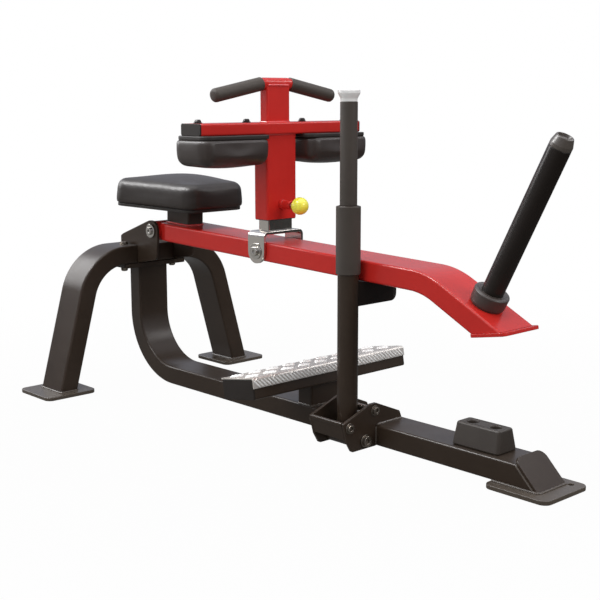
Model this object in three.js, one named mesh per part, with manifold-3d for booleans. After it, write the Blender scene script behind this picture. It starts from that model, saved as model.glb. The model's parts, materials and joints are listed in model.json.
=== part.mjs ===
// A seated calf raise machine. A bent tube frame stands on three feet. A lever arm pivots behind the
// seat and carries the seat, the knee post and a horn for weight plates. A hand lever on the user's
// right holds the arm up on a catch, and swings outwards to let it go.
// Millimetres, +Z up, +X from the rear arch to the front foot. The user sits facing +X, so left is
// +Y and right is -Y. The origin is on the floor under the middle of the machine.
import * as THREE from "three";
import { mergeVertices } from "three/addons/utils/BufferGeometryUtils.js";
import Module from "manifold-3d";

// Clearances
const GAP = 0.3; // between two pieces that touch
const RUNNING_GAP = 0.5; // between a turning piece and what it turns on
const OVERRUN = 30; // how far a cutting tool passes the piece it cuts
const MERGE_DISTANCE = 0.0001;

// Frame tube and sheet stock
const TUBE_WIDTH = 102;
const TUBE_HEIGHT = 52;
const TUBE_WALL = 3;
const TUBE_CORNER = 6;
const PLATE_EDGE = 1.5; // rounding of the edges of thick plates

// Feet
const STANCE = 642; // between the centres of the rear feet
const FOOT_THICKNESS = 10;
const FOOT_CORNER = 20;
const REAR_FOOT_LENGTH = 160;
const REAR_FOOT_WIDTH = 160;
const FRONT_FOOT_LENGTH = 166;
const FRONT_FOOT_WIDTH = 160;
const FRONT_FOOT_AHEAD = 104; // front edge ahead of the beam's top
const ANCHOR_HOLE_RADIUS = 7;
const ANCHOR_HOLE_INSET = 31;
const ANCHOR_HOLE_SIDE_INSET = 25.5;

// Main beam, which runs along the floor and bends up into the riser
const RISER_AHEAD = 9; // riser centre ahead of the centre line of the rear feet
const BEAM_BEND = 170;
const BEAM_TOP_LENGTH = 1412; // from the rear feet to the top of the slanted front end
const BEAM_END_SLANT = 45;
const END_PLATE_THICKNESS = 8;
const END_PLATE_CORNER = 22;
const END_PLATE_PROUD = 10; // stands above the beam

// Rear arch
const ARCH_WIDTH = 106;
const ARCH_HEIGHT = 54;
const ARCH_TOP = 410;
const ARCH_SPLAY = 15.5;
const ARCH_FOOT_INSET = 5; // leg's centre line inside the foot plate's at the floor
const ARCH_BEND = 134;
const FLANGE_THICKNESS = 12;
const FLANGE_WIDTH = 216;
const FLANGE_CORNER = 12;
const FLANGE_BOLT_SPREAD = 174;
const FLANGE_BOLT_RADIUS = 8;
const FLANGE_BOLT_FLATS = 24;
const FLANGE_BOLT_HEAD = 10;
const FLANGE_BOLT_NUT = 14;

// Arm pivot
const PIVOT_AHEAD = 124;
const PIVOT_RISE = 48; // above the top of the arch
const PIVOT_PLATE_THICKNESS = 8;
const PIVOT_PLATE_BOSS = 30;
const PIVOT_PLATE_BACK = 32; // rear edge behind the centre line of the arch
const PIVOT_PLATE_BACK_HEIGHT = 22;
const PIVOT_PLATE_SHOULDER = 12;
const PIVOT_PLATE_SHOULDER_RISE = 7;
const PIVOT_PLATE_SKIRT = 52; // how far the front skirt reaches down the arch
const PIVOT_PLATE_SKIRT_LENGTH = 92;
const SHAFT_RADIUS = 15;
const SHAFT_CAP_RADIUS = 20;
const SHAFT_CAP_THICKNESS = 5;
const SHAFT_SCREW_RADIUS = 11;
const SHAFT_SCREW_HEIGHT = 5;
const SHAFT_SOCKET_RADIUS = 5;
const SHAFT_SOCKET_DEPTH = 3.5;
const BUSHING_WALL = 4;
const BUSHING_LENGTH = 40;
const BARREL_RADIUS = 28;
const NECK_WIDTH = 104;

// Lever arm
const ARM_WIDTH = 120;
const ARM_HEIGHT = 50;
const ARM_WALL = 4;
const ARM_FALL = 1.75; // slope of the long stretch at rest
const ARM_REACH = 1027.6; // from the pivot to the corner of the bend
const ARM_TUBE_START = 54;
const ARM_DROP = 25; // turn of the bend
const ARM_BEND = 190;
const ARM_END_ALONG = 166.4; // from the corner to where the end cut meets the underside
const ARM_END_TILT = 10.2; // the fall that brings the end plate down flat on the bumper
const ARM_END_PLATE_LENGTH = 98;
const ARM_END_PLATE_WIDTH = 130;
const ARM_END_PLATE_THICKNESS = 8;
const ARM_END_PLATE_CORNER = 12;

// Weight horn
const HORN_ALONG = 139; // from the corner of the bend, along the tail
const HORN_RADIUS = 25;
const HORN_WALL = 4;
const HORN_LENGTH = 411;
const COLLAR_RADIUS = 43;
const COLLAR_BASE_RADIUS = 38;
const COLLAR_HEIGHT = 27;
const COLLAR_RECESS = 5;
const COLLAR_RIM = 8;
const HORN_CAP_HEIGHT = 12;
const HORN_CAP_PLUG = 20;

// Seat
const SEAT_ALONG = 70; // post centre ahead of the pivot, along the arm
const SEAT_POST_LENGTH = 100;
const SEAT_POST_WIDTH = 50;
const SEAT_POST_HEIGHT = 42;
const SEAT_PLATE_THICKNESS = 6;
const SEAT_PLATE_LENGTH = 180;
const SEAT_PLATE_WIDTH = 120;
const SEAT_LENGTH = 312;
const SEAT_REAR_WIDTH = 318;
const SEAT_FRONT_WIDTH = 198;
const SEAT_CORNER = 42;
const SEAT_AHEAD = 1; // cushion centre ahead of the post
const SEAT_THICKNESS = 77;
const SEAT_CROWN = 9;
const SEAT_TOP_ROUND = 12;
const SEAT_BASE_ROUND = 16;
const SEAT_DRAW_IN = 4;

// Knee post
const SADDLE_ALONG = 464.3; // tilt bolt ahead of the arm pivot, along the arm
const SADDLE_LENGTH = 64;
const SADDLE_PLATE = 8;
const SADDLE_CLEARANCE = 18.4; // between the arm's top and the saddle
const SADDLE_BEND = 14;
const SADDLE_SIDE_GAP = 1;
const SADDLE_BOLT_RADIUS = 8;
const SADDLE_WASHER_RADIUS = 21;
const SADDLE_WASHER_THICKNESS = 3;
const SADDLE_HEAD_RADIUS = 12;
const SADDLE_HEAD_HEIGHT = 7;
const SADDLE_SOCKET_RADIUS = 5;
const SADDLE_SOCKET_DEPTH = 4;
const SLEEVE_LENGTH = 52;
const SLEEVE_WIDTH = 102;
const SLEEVE_RISE = 67; // its bottom above the arm pivot
const CROSSBAR_RISE = 219.5; // its underside above the sleeve's bottom
const HANDLE_RISE = 127.5; // above the crossbar's underside
const INNER_POST_LENGTH = 40;
const INNER_POST_WIDTH = 87;
const INNER_POST_WALL = 3;
const INNER_POST_ROOM = 32.5; // between its top and the crossbar's underside
const INNER_POST_CORNER = 7;
const LINER_HEIGHT = 40;
const PIN_HOLE_PITCH = 25;
const PIN_HOLES_BELOW = 1;
const PIN_HOLES_ABOVE = 5;

// Crossbar, boards and knee pads
const CROSSBAR_LENGTH = 550;
const CROSSBAR_DEPTH = 77;
const CROSSBAR_HEIGHT = 30;
const CROSSBAR_WALL = 3;
const CROSSBAR_CORNER = 5;
const CROSSBAR_CAP = 4;
const CROSSBAR_PLUG = 10;
const PAD_OUTER = 285; // outer end of a pad from the middle
const PAD_INNER = 57;
const PAD_DEPTH = 140;
const PAD_AHEAD = 2; // pad centre ahead of the crossbar's
const PAD_THICKNESS = 70;
const PAD_CROWN = 4;
const PAD_CORNER = 34;
const PAD_TOP_ROUND = 7;
const PAD_BASE_ROUND = 25;
const PAD_DRAW_IN = 3;
const BOARD_THICKNESS = 10;
const BOARD_INSET = 6;
const PAD_BOLT_INNER = 96;
const PAD_BOLT_OUTER = 254;
const PAD_BOLT_RADIUS = 5;
const PAD_BOLT_WASHER = 11;
const PAD_BOLT_WASHER_THICKNESS = 2;
const PAD_BOLT_HEAD = 8.5;
const PAD_BOLT_HEAD_HEIGHT = 7;

// Handlebar on the upper post
const UPPER_POST_LENGTH = 30;
const UPPER_POST_WIDTH = 78;
const UPPER_POST_CORNER = 5;
const HANDLE_RADIUS = 15;
const HANDLE_WALL = 3;
const HANDLE_FLAT = 42; // half of the level middle stretch
const HANDLE_SLOPE = 11;
const HANDLE_BEND = 40;
const HANDLE_SPAN = 196; // from the middle to the end of the tube
const GRIP_START = 48;
const GRIP_RADIUS = 17.5;

// Pull pin
const PIN_RISE = 38; // above the sleeve's bottom
const PIN_RADIUS = 5;
const PIN_STEM_RADIUS = 4;
const PIN_COLLAR_RADIUS = 8;
const PIN_COLLAR_LENGTH = 4;
const PIN_COLLAR_AHEAD = 5; // collar's back face ahead of the sleeve
const HOUSING_RADIUS = 13;
const HOUSING_LENGTH = 36;
const HOUSING_BORE = 9.5;
const HOUSING_END_WALL = 5;
const BALL_RADIUS = 22.5;
const BALL_AHEAD = 68; // ball centre ahead of the sleeve
const BALL_FLAT = 10; // radius of the flat around the stem
const BALL_BORE_DEPTH = 18;

// Foot platform
const PLATFORM_SHARE = 0.53; // of the beam's length, to the centre of the platform tube
const PLATFORM_HEIGHT = 138.5;
const PLATFORM_TILT = 9.8;
const PLATFORM_LENGTH = 534;
const PLATFORM_DEPTH = 115;
const PLATFORM_TUBE_HEIGHT = 50;
const PLATFORM_WALL = 3;
const PLATFORM_CORNER = 5;
const PLATFORM_CAP = 4;
const PLATFORM_PLUG = 16;
const TREAD_THICKNESS = 3;
const TREAD_LIP = 26;
const TREAD_BEND = 7;
const PILLAR_AHEAD = 5; // of the platform's centre

// Bumper under the arm's end
const BUMPER_BACK = 122; // centre behind the front end of the beam's top
const BUMPER_HEIGHT = 52.4;
const BUMPER_TOP_LENGTH = 122;
const BUMPER_TOP_WIDTH = 47;
const BUMPER_BASE_LENGTH = 134;
const BUMPER_BASE_WIDTH = 88;
const BUMPER_CORNER = 9;
const BUMPER_EDGE = 4;
const BUMPER_HOLE_SPREAD = 65;
const BUMPER_HOLE_RADIUS = 13;
const BUMPER_HOLE_DEPTH = 24;
const BUMPER_SCREW_RADIUS = 9;
const BUMPER_SCREW_HEIGHT = 10;

// Hand lever
const LEVER_SHARE = 0.67; // of the beam's length
const LEVER_ASIDE = 90; // to the right of the middle
const LEVER_PIVOT_HEIGHT = 31;
const LEVER_RADIUS = 25;
const LEVER_WALL = 3;
const LEVER_BARREL_RADIUS = 22;
const LEVER_BOLT_RADIUS = 10;
const LEVER_BOLT_FLATS = 30;
const LEVER_BOLT_HEAD = 12;
const LEVER_SHOULDER_RISE = 130; // where the tube narrows, above the arm pivot
const LEVER_GRIP_LENGTH = 239;
const LEVER_TOP_PROUD = 5; // of the grip
const LEVER_CORE_RADIUS = 17;
const LEVER_GRIP_RADIUS = 20.5;
const GUARD_LENGTH = 160;
const GUARD_RADIUS = 29.3;
const LEVER_CAP_RADIUS = 26;
const LEVER_CAP_NECK = 19;
const LEVER_CAP_HEIGHT = 26;
const LEVER_CAP_LIP = 4;
const LEVER_CAP_BORE = 16;
const LEVER_CAP_BORE_DEPTH = 10;

// Lever bracket
const LEVER_PLATE_THICKNESS = 8;
const LEVER_PLATE_SPREAD = 102; // between the inner faces
const LEVER_PLATE_CORNER = 9;
const LEVER_PLATE_REACH = 162; // outermost corner from the middle
const LEVER_PLATE_REACH_HEIGHT = 84;
const LEVER_PLATE_HEEL = 149;
const LEVER_PLATE_HEEL_HEIGHT = 37;
const LEVER_PLATE_TOE = 133;
const LEVER_PLATE_CREST = 70;
const LEVER_PLATE_CREST_INNER = 51;
const LEVER_PLATE_CREST_HEIGHT = 117;
const LEVER_PLATE_FAR = 33;
const LEVER_PLATE_FAR_HEIGHT = 82;
const LEVER_PLATE_FAR_FOOT = 41;
const LEVER_SIDE_THICKNESS = 6;
const STOP_RADIUS = 8;
const STOP_HEAD_FLATS = 19;
const STOP_HEAD = 8;
const OUTER_STOP_ASIDE = 142;
const OUTER_STOP_HEIGHT = 71;
const INNER_STOP_HEIGHT = 99;

// Catch under the arm
const CATCH_LENGTH = 46;
const CATCH_DEPTH = 108; // its underside below the arm pivot
const CATCH_REACH = 55; // to the left of the middle
const CATCH_CAP_LENGTH = 13;
const CATCH_CORNER = 17;

// Facets
const ROUND_STEPS = 24;
const SMALL_ROUND_STEPS = 16;
const HOLE_STEPS = 12;
const HEX_STEPS = 6;
const CORNER_STEPS = 4;
const SECTION_STEPS = 2;
const INSIDE_STEPS = 1;
const BEND_STEP_ANGLE = 8; // most that one facet of a bend turns
const SADDLE_ROUND_STEPS = 10;
const EDGE_STEPS = 1;
const CUSHION_CORNER_STEPS = 8;
const CUSHION_ROUND_STEPS = 4;
const CUSHION_CROWN_STEPS = 4;
const CATCH_ARC_STEPS = 10;

// Finishes
const CHARCOAL = { color: 0x3a3431, roughness: 0.5, metalness: 0.3 };
const RED = { color: 0xac302a, roughness: 0.22, metalness: 0.2 };
const CHROME = { color: 0xd6d6d4, roughness: 0.12, metalness: 1 };
const STEEL = { color: 0xa9a8a5, roughness: 0.35, metalness: 1 };
const ALUMINIUM = { color: 0xc4c4c2, roughness: 0.32, metalness: 1 };
const BLACK_STEEL = { color: 0x231f1e, roughness: 0.45, metalness: 0.4 };
const BLACK_PLASTIC = { color: 0x24211f, roughness: 0.55, metalness: 0 };
const RUBBER = { color: 0x3b3a37, roughness: 0.7, metalness: 0 };
const GRIP_RUBBER = { color: 0x4a4947, roughness: 0.75, metalness: 0 };
const VINYL = { color: 0x2b2625, roughness: 0.45, metalness: 0 };
const YELLOW = { color: 0xf2c62b, roughness: 0.2, metalness: 0 };
const BRONZE = { color: 0x9a7b3f, roughness: 0.4, metalness: 0.8 };

const wasm = await Module();
wasm.setup();

const QUARTER_TURN = Math.PI / 2;
const radians = THREE.MathUtils.degToRad;
const flat = (x, y) => new THREE.Vector2(x, y);
const CENTRE = flat(0, 0);

// A drawing's x and y stood up in space, with its depth along X, -Y or Z.
const ALONG_X = new THREE.Matrix4().makeBasis(
  new THREE.Vector3(0, 1, 0), new THREE.Vector3(0, 0, 1), new THREE.Vector3(1, 0, 0));
const ALONG_Y = new THREE.Matrix4().makeBasis(
  new THREE.Vector3(1, 0, 0), new THREE.Vector3(0, 0, 1), new THREE.Vector3(0, -1, 0));
const ALONG_Z = new THREE.Matrix4();

// Solids for joining and cutting
function solid(shape) {
  if (shape instanceof wasm.Manifold) return shape;
  const bare = shape.index ? shape.toNonIndexed() : shape.clone();
  Object.keys(bare.attributes).filter((name) => name !== "position")
    .forEach((name) => bare.deleteAttribute(name));
  const merged = mergeVertices(bare, MERGE_DISTANCE);
  return new wasm.Manifold(new wasm.Mesh({
    numProp: merged.attributes.position.itemSize,
    vertProperties: merged.attributes.position.array,
    triVerts: new Uint32Array(merged.index.array),
  }));
}

function surface(shape) {
  if (shape instanceof THREE.BufferGeometry) return shape;
  const mesh = shape.getMesh();
  const geometry = new THREE.BufferGeometry();
  geometry.setAttribute("position", new THREE.BufferAttribute(mesh.vertProperties, mesh.numProp));
  geometry.setIndex(new THREE.BufferAttribute(mesh.triVerts, 1));
  geometry.computeVertexNormals();
  return geometry;
}

const join = (...shapes) => shapes.map(solid).reduce((sum, shape) => sum.add(shape));
const cut = (shape, ...tools) => tools.map(solid).reduce((rest, tool) => rest.subtract(tool), solid(shape));

// Simple forms
function block([fromX, toX], [fromY, toY], [fromZ, toZ]) {
  return new THREE.BoxGeometry(toX - fromX, toY - fromY, toZ - fromZ)
    .translate((fromX + toX) / 2, (fromY + toY) / 2, (fromZ + toZ) / 2);
}

function disc(radius, from, to, frame, steps = SMALL_ROUND_STEPS) {
  return new THREE.CylinderGeometry(radius, radius, to - from, steps)
    .rotateX(QUARTER_TURN).translate(0, 0, (from + to) / 2).applyMatrix4(frame);
}

// The flat sides of these touch a circle of the given radius, so that a bore clears what it holds.
const cornersAbout = (radius, steps) => radius / Math.cos(Math.PI / steps);
const bore = (radius, from, to, frame, steps = HOLE_STEPS) =>
  disc(cornersAbout(radius, steps), from, to, frame, steps);
const hexagon = (flats, from, to, frame) => bore(flats / 2, from, to, frame, HEX_STEPS);

// A profile of [radius, height] turned about the frame's depth.
function turned(profile, frame, steps = ROUND_STEPS) {
  return new THREE.LatheGeometry(profile.map(([radius, height]) => flat(radius, height)), steps)
    .rotateX(QUARTER_TURN).applyMatrix4(frame);
}

function slab(shape, from, to, frame, edge = 0) {
  return new THREE.ExtrudeGeometry(shape, {
    depth: to - from - 2 * edge, bevelEnabled: edge > 0, bevelThickness: edge,
    bevelSize: edge, bevelOffset: -edge, bevelSegments: EDGE_STEPS,
  }).translate(0, 0, from + edge).applyMatrix4(frame);
}

// A closed outline through corners of [x, y] or [x, y, own radius], each rounded by an arc.
function outline(corners, radius = 0, steps = CORNER_STEPS) {
  const points = corners.flatMap(([x, y, own = radius], index) => {
    const corner = flat(x, y);
    if (own === 0) return [corner];
    const back = flat(...corners.at(index - 1)).sub(corner).normalize();
    const on = flat(...corners[(index + 1) % corners.length]).sub(corner).normalize();
    const half = Math.acos(back.dot(on)) / 2;
    const centre = corner.clone().addScaledVector(back.clone().add(on).normalize(), own / Math.sin(half));
    const spoke = corner.clone().addScaledVector(back, own / Math.tan(half)).sub(centre);
    const turn = -Math.sign(back.cross(on)) * (Math.PI - 2 * half);
    return Array.from({ length: steps + 1 }, (_, step) =>
      spoke.clone().rotateAround(CENTRE, turn * step / steps).add(centre));
  });
  return new THREE.Shape(points);
}

function rectangle(width, height, radius = 0, steps = CORNER_STEPS) {
  const [x, y] = [width / 2, height / 2];
  return outline([[-x, -y], [x, -y], [x, y], [-x, y]], radius, steps);
}

function hole(shape, x, y, radius, steps = HOLE_STEPS) {
  const reach = flat(cornersAbout(radius, steps), 0);
  const corners = Array.from({ length: steps }, (_, step) =>
    reach.clone().rotateAround(CENTRE, 2 * Math.PI * step / steps).add(flat(x, y)));
  shape.holes.push(new THREE.Path(corners));
  return shape;
}

// The closed surface over a row of rings, whose points go round the way ahead as a right hand turns.
function loft(rings) {
  const count = rings[0].length;
  const last = (rings.length - 1) * count;
  const index = [];
  for (let ring = 0; ring < rings.length - 1; ring += 1) {
    for (let side = 0; side < count; side += 1) {
      const here = ring * count + side;
      const beside = ring * count + (side + 1) % count;
      index.push(here, beside, beside + count, here, beside + count, here + count);
    }
  }
  for (let side = 1; side < count - 1; side += 1) {
    index.push(0, side + 1, side, last, last + side, last + side + 1);
  }
  const geometry = new THREE.BufferGeometry().setFromPoints(rings.flat());
  geometry.setIndex(index);
  return geometry;
}

// Stations along straight stretches joined by bends: a point and the direction to its left.
function bentRun(corners, radius) {
  const left = (way) => flat(-way.y, way.x);
  const stations = [];
  const ways = corners.slice(1).map((corner, index) => corner.clone().sub(corners[index]).normalize());
  stations.push({ point: corners[0], left: left(ways[0]) });
  ways.slice(1).forEach((onward, index) => {
    const way = ways[index];
    const turn = Math.atan2(way.cross(onward), way.dot(onward));
    const side = Math.sign(turn) * radius;
    const start = corners[index + 1].clone().addScaledVector(way, -radius * Math.tan(Math.abs(turn) / 2));
    const centre = start.addScaledVector(left(way), side);
    const steps = Math.ceil(Math.abs(turn) / radians(BEND_STEP_ANGLE));
    for (let step = 0; step <= steps; step += 1) {
      const across = left(way).rotateAround(CENTRE, turn * step / steps);
      stations.push({ point: centre.clone().addScaledVector(across, -side), left: across });
    }
  });
  stations.push({ point: corners.at(-1), left: left(ways.at(-1)) });
  return stations;
}

// A bar along a run of corners: depth is its size in the drawing, width its size across it.
function bar(corners, bend, depth, width, corner, frame, steps = SECTION_STEPS) {
  const section = rectangle(depth, width, corner, steps).getPoints();
  return loft(bentRun(corners, bend).map(({ point, left }) => section.map(({ x, y }) =>
    new THREE.Vector3(point.x + left.x * x, point.y + left.y * x, y)))).applyMatrix4(frame);
}

// The same run made longer at both ends.
function lengthened(corners, extra) {
  const [first, second] = corners;
  const [beforeLast, last] = corners.slice(-2);
  return [first.clone().addScaledVector(first.clone().sub(second).normalize(), extra),
    ...corners.slice(1, -1),
    last.clone().addScaledVector(last.clone().sub(beforeLast).normalize(), extra)];
}

function tube(corners, bend, depth, width, wall, corner, frame) {
  return cut(
    bar(corners, bend, depth, width, corner, frame),
    bar(lengthened(corners, OVERRUN), bend, depth - 2 * wall, width - 2 * wall, corner - wall, frame,
      INSIDE_STEPS));
}

// A tool that cuts away what lies ahead of a line through a point, drawn in x and y.
function cutterAhead(x, y, angle, reach, width, frame) {
  const geometry = new THREE.BoxGeometry(reach, 2 * reach, width).translate(reach / 2, 0, 0);
  return geometry.rotateZ(angle).translate(x, y, 0).applyMatrix4(frame);
}

// A cushion over a plan: a rounded base edge, sides drawn in towards the base, a rounded top edge
// and a crown. Its base lies at height 0.
function cushion(plan, { halfWidth, thickness, crown, topRound, baseRound, drawIn }) {
  const levels = [];
  const add = (inset, height) => levels.push({ share: 1 - inset / halfWidth, height });
  for (let step = 0; step <= CUSHION_ROUND_STEPS; step += 1) {
    const angle = QUARTER_TURN * step / CUSHION_ROUND_STEPS;
    add(drawIn + baseRound * (1 - Math.sin(angle)), baseRound * (1 - Math.cos(angle)));
  }
  for (let step = 0; step <= CUSHION_ROUND_STEPS; step += 1) {
    const angle = QUARTER_TURN * step / CUSHION_ROUND_STEPS;
    add(topRound * (1 - Math.cos(angle)), thickness - topRound * (1 - Math.sin(angle)));
  }
  const topShare = levels.at(-1).share;
  for (let step = 1; step <= CUSHION_CROWN_STEPS; step += 1) {
    const inward = step / (CUSHION_CROWN_STEPS + 1);
    levels.push({ share: topShare * (1 - inward), height: thickness + crown * (1 - (1 - inward) ** 2) });
  }
  const points = plan.getPoints();
  return loft(levels.map(({ share, height }) =>
    points.map(({ x, y }) => new THREE.Vector3(x * share, y * share, height))));
}

function piece(name, shape, finish) {
  const mesh = new THREE.Mesh(surface(shape), new THREE.MeshStandardMaterial(finish));
  mesh.name = name;
  return mesh;
}

function group(pieces, { x = 0, y = 0, z = 0, turnX = 0, turnY = 0 } = {}) {
  const made = new THREE.Group();
  made.position.set(x, y, z);
  made.rotation.set(turnX, turnY, 0);
  made.add(...pieces);
  return made;
}

const SIDES = [{ side: "left", sign: 1 }, { side: "right", sign: -1 }];

// Places that several pieces share. The frame is laid out from the centre line of the rear feet.
const footTop = FOOT_THICKNESS + GAP;
const beamTop = footTop + TUBE_HEIGHT;
const beamMiddle = footTop + TUBE_HEIGHT / 2;
const archBottom = ARCH_TOP - ARCH_HEIGHT;
const archMiddle = ARCH_TOP - ARCH_HEIGHT / 2;
const archFront = ARCH_WIDTH / 2;
const flangeTop = archBottom - GAP;
const flangeBottom = flangeTop - FLANGE_THICKNESS;
const frontReach = BEAM_TOP_LENGTH + FRONT_FOOT_AHEAD;
const platformAhead = PLATFORM_SHARE * BEAM_TOP_LENGTH;
const pillarAhead = platformAhead + PILLAR_AHEAD;
const leverAhead = LEVER_SHARE * BEAM_TOP_LENGTH;
const pivotHeight = ARCH_TOP + PIVOT_RISE;
const sleeveBottom = pivotHeight + SLEEVE_RISE;
const crossbarBottom = sleeveBottom + CROSSBAR_RISE;
const handleHeight = crossbarBottom + HANDLE_RISE;
const pinHeight = sleeveBottom + PIN_RISE;
const leverShoulder = pivotHeight + LEVER_SHOULDER_RISE;
const leverGripTop = leverShoulder + LEVER_GRIP_LENGTH;
const leverTop = leverGripTop + LEVER_TOP_PROUD;
const bumperTop = beamTop + BUMPER_HEIGHT;
const armSide = ARM_WIDTH / 2;
const pivotPlateInner = armSide + 2 * RUNNING_GAP;
const pivotPlateOuter = pivotPlateInner + PIVOT_PLATE_THICKNESS;
const armTop = ARM_HEIGHT / 2;
const leverFrontPlate = leverAhead + LEVER_PLATE_SPREAD / 2;
const leverRearPlate = leverAhead - LEVER_PLATE_SPREAD / 2;
const innerStopAside = LEVER_ASIDE - LEVER_RADIUS - GAP - STOP_RADIUS;

// Feet and beam
function footPlate(length, width) {
  return rectangle(length, width, FOOT_CORNER);
}

function rearFootPlate({ side, sign }) {
  const plate = slab(footPlate(REAR_FOOT_LENGTH, REAR_FOOT_WIDTH), 0, FOOT_THICKNESS, ALONG_Z, PLATE_EDGE);
  return piece(`rear_foot_plate_${side}`, plate.translate(0, sign * STANCE / 2, 0), CHARCOAL);
}

function frontFootPlate() {
  const anchorX = FRONT_FOOT_LENGTH / 2 - ANCHOR_HOLE_INSET;
  const anchorY = FRONT_FOOT_WIDTH / 2 - ANCHOR_HOLE_SIDE_INSET;
  const shape = hole(footPlate(FRONT_FOOT_LENGTH, FRONT_FOOT_WIDTH), anchorX, anchorY, ANCHOR_HOLE_RADIUS);
  const plate = slab(shape, 0, FOOT_THICKNESS, ALONG_Z, PLATE_EDGE);
  return piece("front_foot_plate", plate.translate(frontReach - FRONT_FOOT_LENGTH / 2, 0, 0), CHARCOAL);
}

function mainBeam() {
  const corners = [flat(RISER_AHEAD, flangeBottom - GAP), flat(RISER_AHEAD, beamMiddle),
    flat(BEAM_TOP_LENGTH + 2 * TUBE_HEIGHT, beamMiddle)];
  const run = tube(corners, BEAM_BEND, TUBE_HEIGHT, TUBE_WIDTH, TUBE_WALL, TUBE_CORNER, ALONG_Y);
  const slant = radians(BEAM_END_SLANT);
  const tool = cutterAhead(BEAM_TOP_LENGTH, beamTop, slant, 4 * TUBE_HEIGHT, 2 * TUBE_WIDTH, ALONG_Y);
  return piece("main_beam", cut(run, tool), CHARCOAL);
}

// The slanted plate that closes the beam's front end, cut off level above the foot plate.
function beamEndPlate() {
  const slant = radians(BEAM_END_SLANT);
  const length = TUBE_HEIGHT / Math.cos(slant) + 2 * END_PLATE_PROUD;
  const top = END_PLATE_PROUD;
  const half = TUBE_WIDTH / 2;
  const shape = outline([[-half, top - length, 0], [half, top - length, 0], [half, top], [-half, top]],
    END_PLATE_CORNER);
  const plate = slab(shape, GAP, GAP + END_PLATE_THICKNESS, ALONG_X, PLATE_EDGE)
    .rotateY(-slant).translate(BEAM_TOP_LENGTH, 0, beamTop);
  const floor = block([BEAM_TOP_LENGTH - OVERRUN, frontReach], [-TUBE_WIDTH, TUBE_WIDTH],
    [-OVERRUN, footTop]);
  return piece("beam_end_plate", cut(plate, floor), CHARCOAL);
}

// Rear arch, and the flange that joins the riser to it
function rearArch() {
  const slope = Math.tan(radians(ARCH_SPLAY));
  const hip = STANCE / 2 - ARCH_FOOT_INSET - (archMiddle - FOOT_THICKNESS) * slope;
  const foot = hip + archMiddle * slope;
  const corners = [flat(-foot, 0), flat(-hip, archMiddle), flat(hip, archMiddle), flat(foot, 0)];
  const run = tube(corners, ARCH_BEND, ARCH_HEIGHT, ARCH_WIDTH, TUBE_WALL, TUBE_CORNER, ALONG_X);
  const floor = block([-ARCH_WIDTH, ARCH_WIDTH], [-STANCE, STANCE], [-OVERRUN, footTop]);
  const bores = SIDES.map(({ sign }) =>
    bore(FLANGE_BOLT_RADIUS + GAP, archBottom - OVERRUN, ARCH_TOP + OVERRUN, ALONG_Z)
      .translate(RISER_AHEAD, sign * FLANGE_BOLT_SPREAD / 2, 0));
  return piece("rear_arch", cut(run, floor, ...bores), CHARCOAL);
}

function riserFlange() {
  const shape = rectangle(ARCH_WIDTH, FLANGE_WIDTH, FLANGE_CORNER);
  SIDES.forEach(({ sign }) =>
    hole(shape, RISER_AHEAD, sign * FLANGE_BOLT_SPREAD / 2, FLANGE_BOLT_RADIUS + GAP));
  return piece("riser_flange", slab(shape, flangeBottom, flangeTop, ALONG_Z), CHARCOAL);
}

function flangeBolt({ side, sign }) {
  const nutTop = flangeBottom - GAP;
  const headBottom = ARCH_TOP + GAP;
  const bolt = join(
    disc(FLANGE_BOLT_RADIUS, nutTop - FLANGE_BOLT_NUT, headBottom + FLANGE_BOLT_HEAD / 2, ALONG_Z),
    hexagon(FLANGE_BOLT_FLATS, nutTop - FLANGE_BOLT_NUT, nutTop, ALONG_Z),
    hexagon(FLANGE_BOLT_FLATS, headBottom, headBottom + FLANGE_BOLT_HEAD, ALONG_Z));
  const mesh = piece(`flange_bolt_${side}`, bolt, BLACK_STEEL);
  mesh.position.set(RISER_AHEAD, sign * FLANGE_BOLT_SPREAD / 2, 0);
  return mesh;
}

// Arm pivot: two plates that stand on the arch and reach down its front, and the shaft between them
function pivotPlate({ side, sign }) {
  const base = ARCH_TOP + GAP;
  const front = archFront + GAP;
  const bossTop = pivotHeight + PIVOT_PLATE_BOSS;
  const bossFront = PIVOT_AHEAD + PIVOT_PLATE_BOSS;
  const skirtBottom = ARCH_TOP - PIVOT_PLATE_SKIRT;
  const shoulder = -PIVOT_PLATE_BACK + PIVOT_PLATE_SHOULDER;
  const backTop = base + PIVOT_PLATE_BACK_HEIGHT;
  const shape = outline([
    [-PIVOT_PLATE_BACK, base], [front, base], [front, skirtBottom],
    [front + PIVOT_PLATE_SKIRT_LENGTH, skirtBottom + PIVOT_PLATE_SKIRT / 3, PIVOT_PLATE_SHOULDER],
    [bossFront, pivotHeight - PIVOT_PLATE_BOSS / 2, PIVOT_PLATE_BOSS / 2],
    [bossFront, bossTop, PIVOT_PLATE_BOSS - 2 * GAP],
    [PIVOT_AHEAD - PIVOT_PLATE_BOSS / 3, bossTop, PIVOT_PLATE_BOSS],
    [shoulder, backTop + PIVOT_PLATE_SHOULDER_RISE, PIVOT_PLATE_SHOULDER / 2],
    [-PIVOT_PLATE_BACK, backTop, PIVOT_PLATE_SHOULDER / 3]]);
  hole(shape, PIVOT_AHEAD, pivotHeight, SHAFT_RADIUS + GAP, ROUND_STEPS);
  const middle = sign * (pivotPlateInner + pivotPlateOuter) / 2;
  const plate = slab(shape, -PIVOT_PLATE_THICKNESS / 2, PIVOT_PLATE_THICKNESS / 2, ALONG_Y);
  return piece(`pivot_plate_${side}`, plate.translate(0, middle, 0), CHARCOAL);
}

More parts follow.
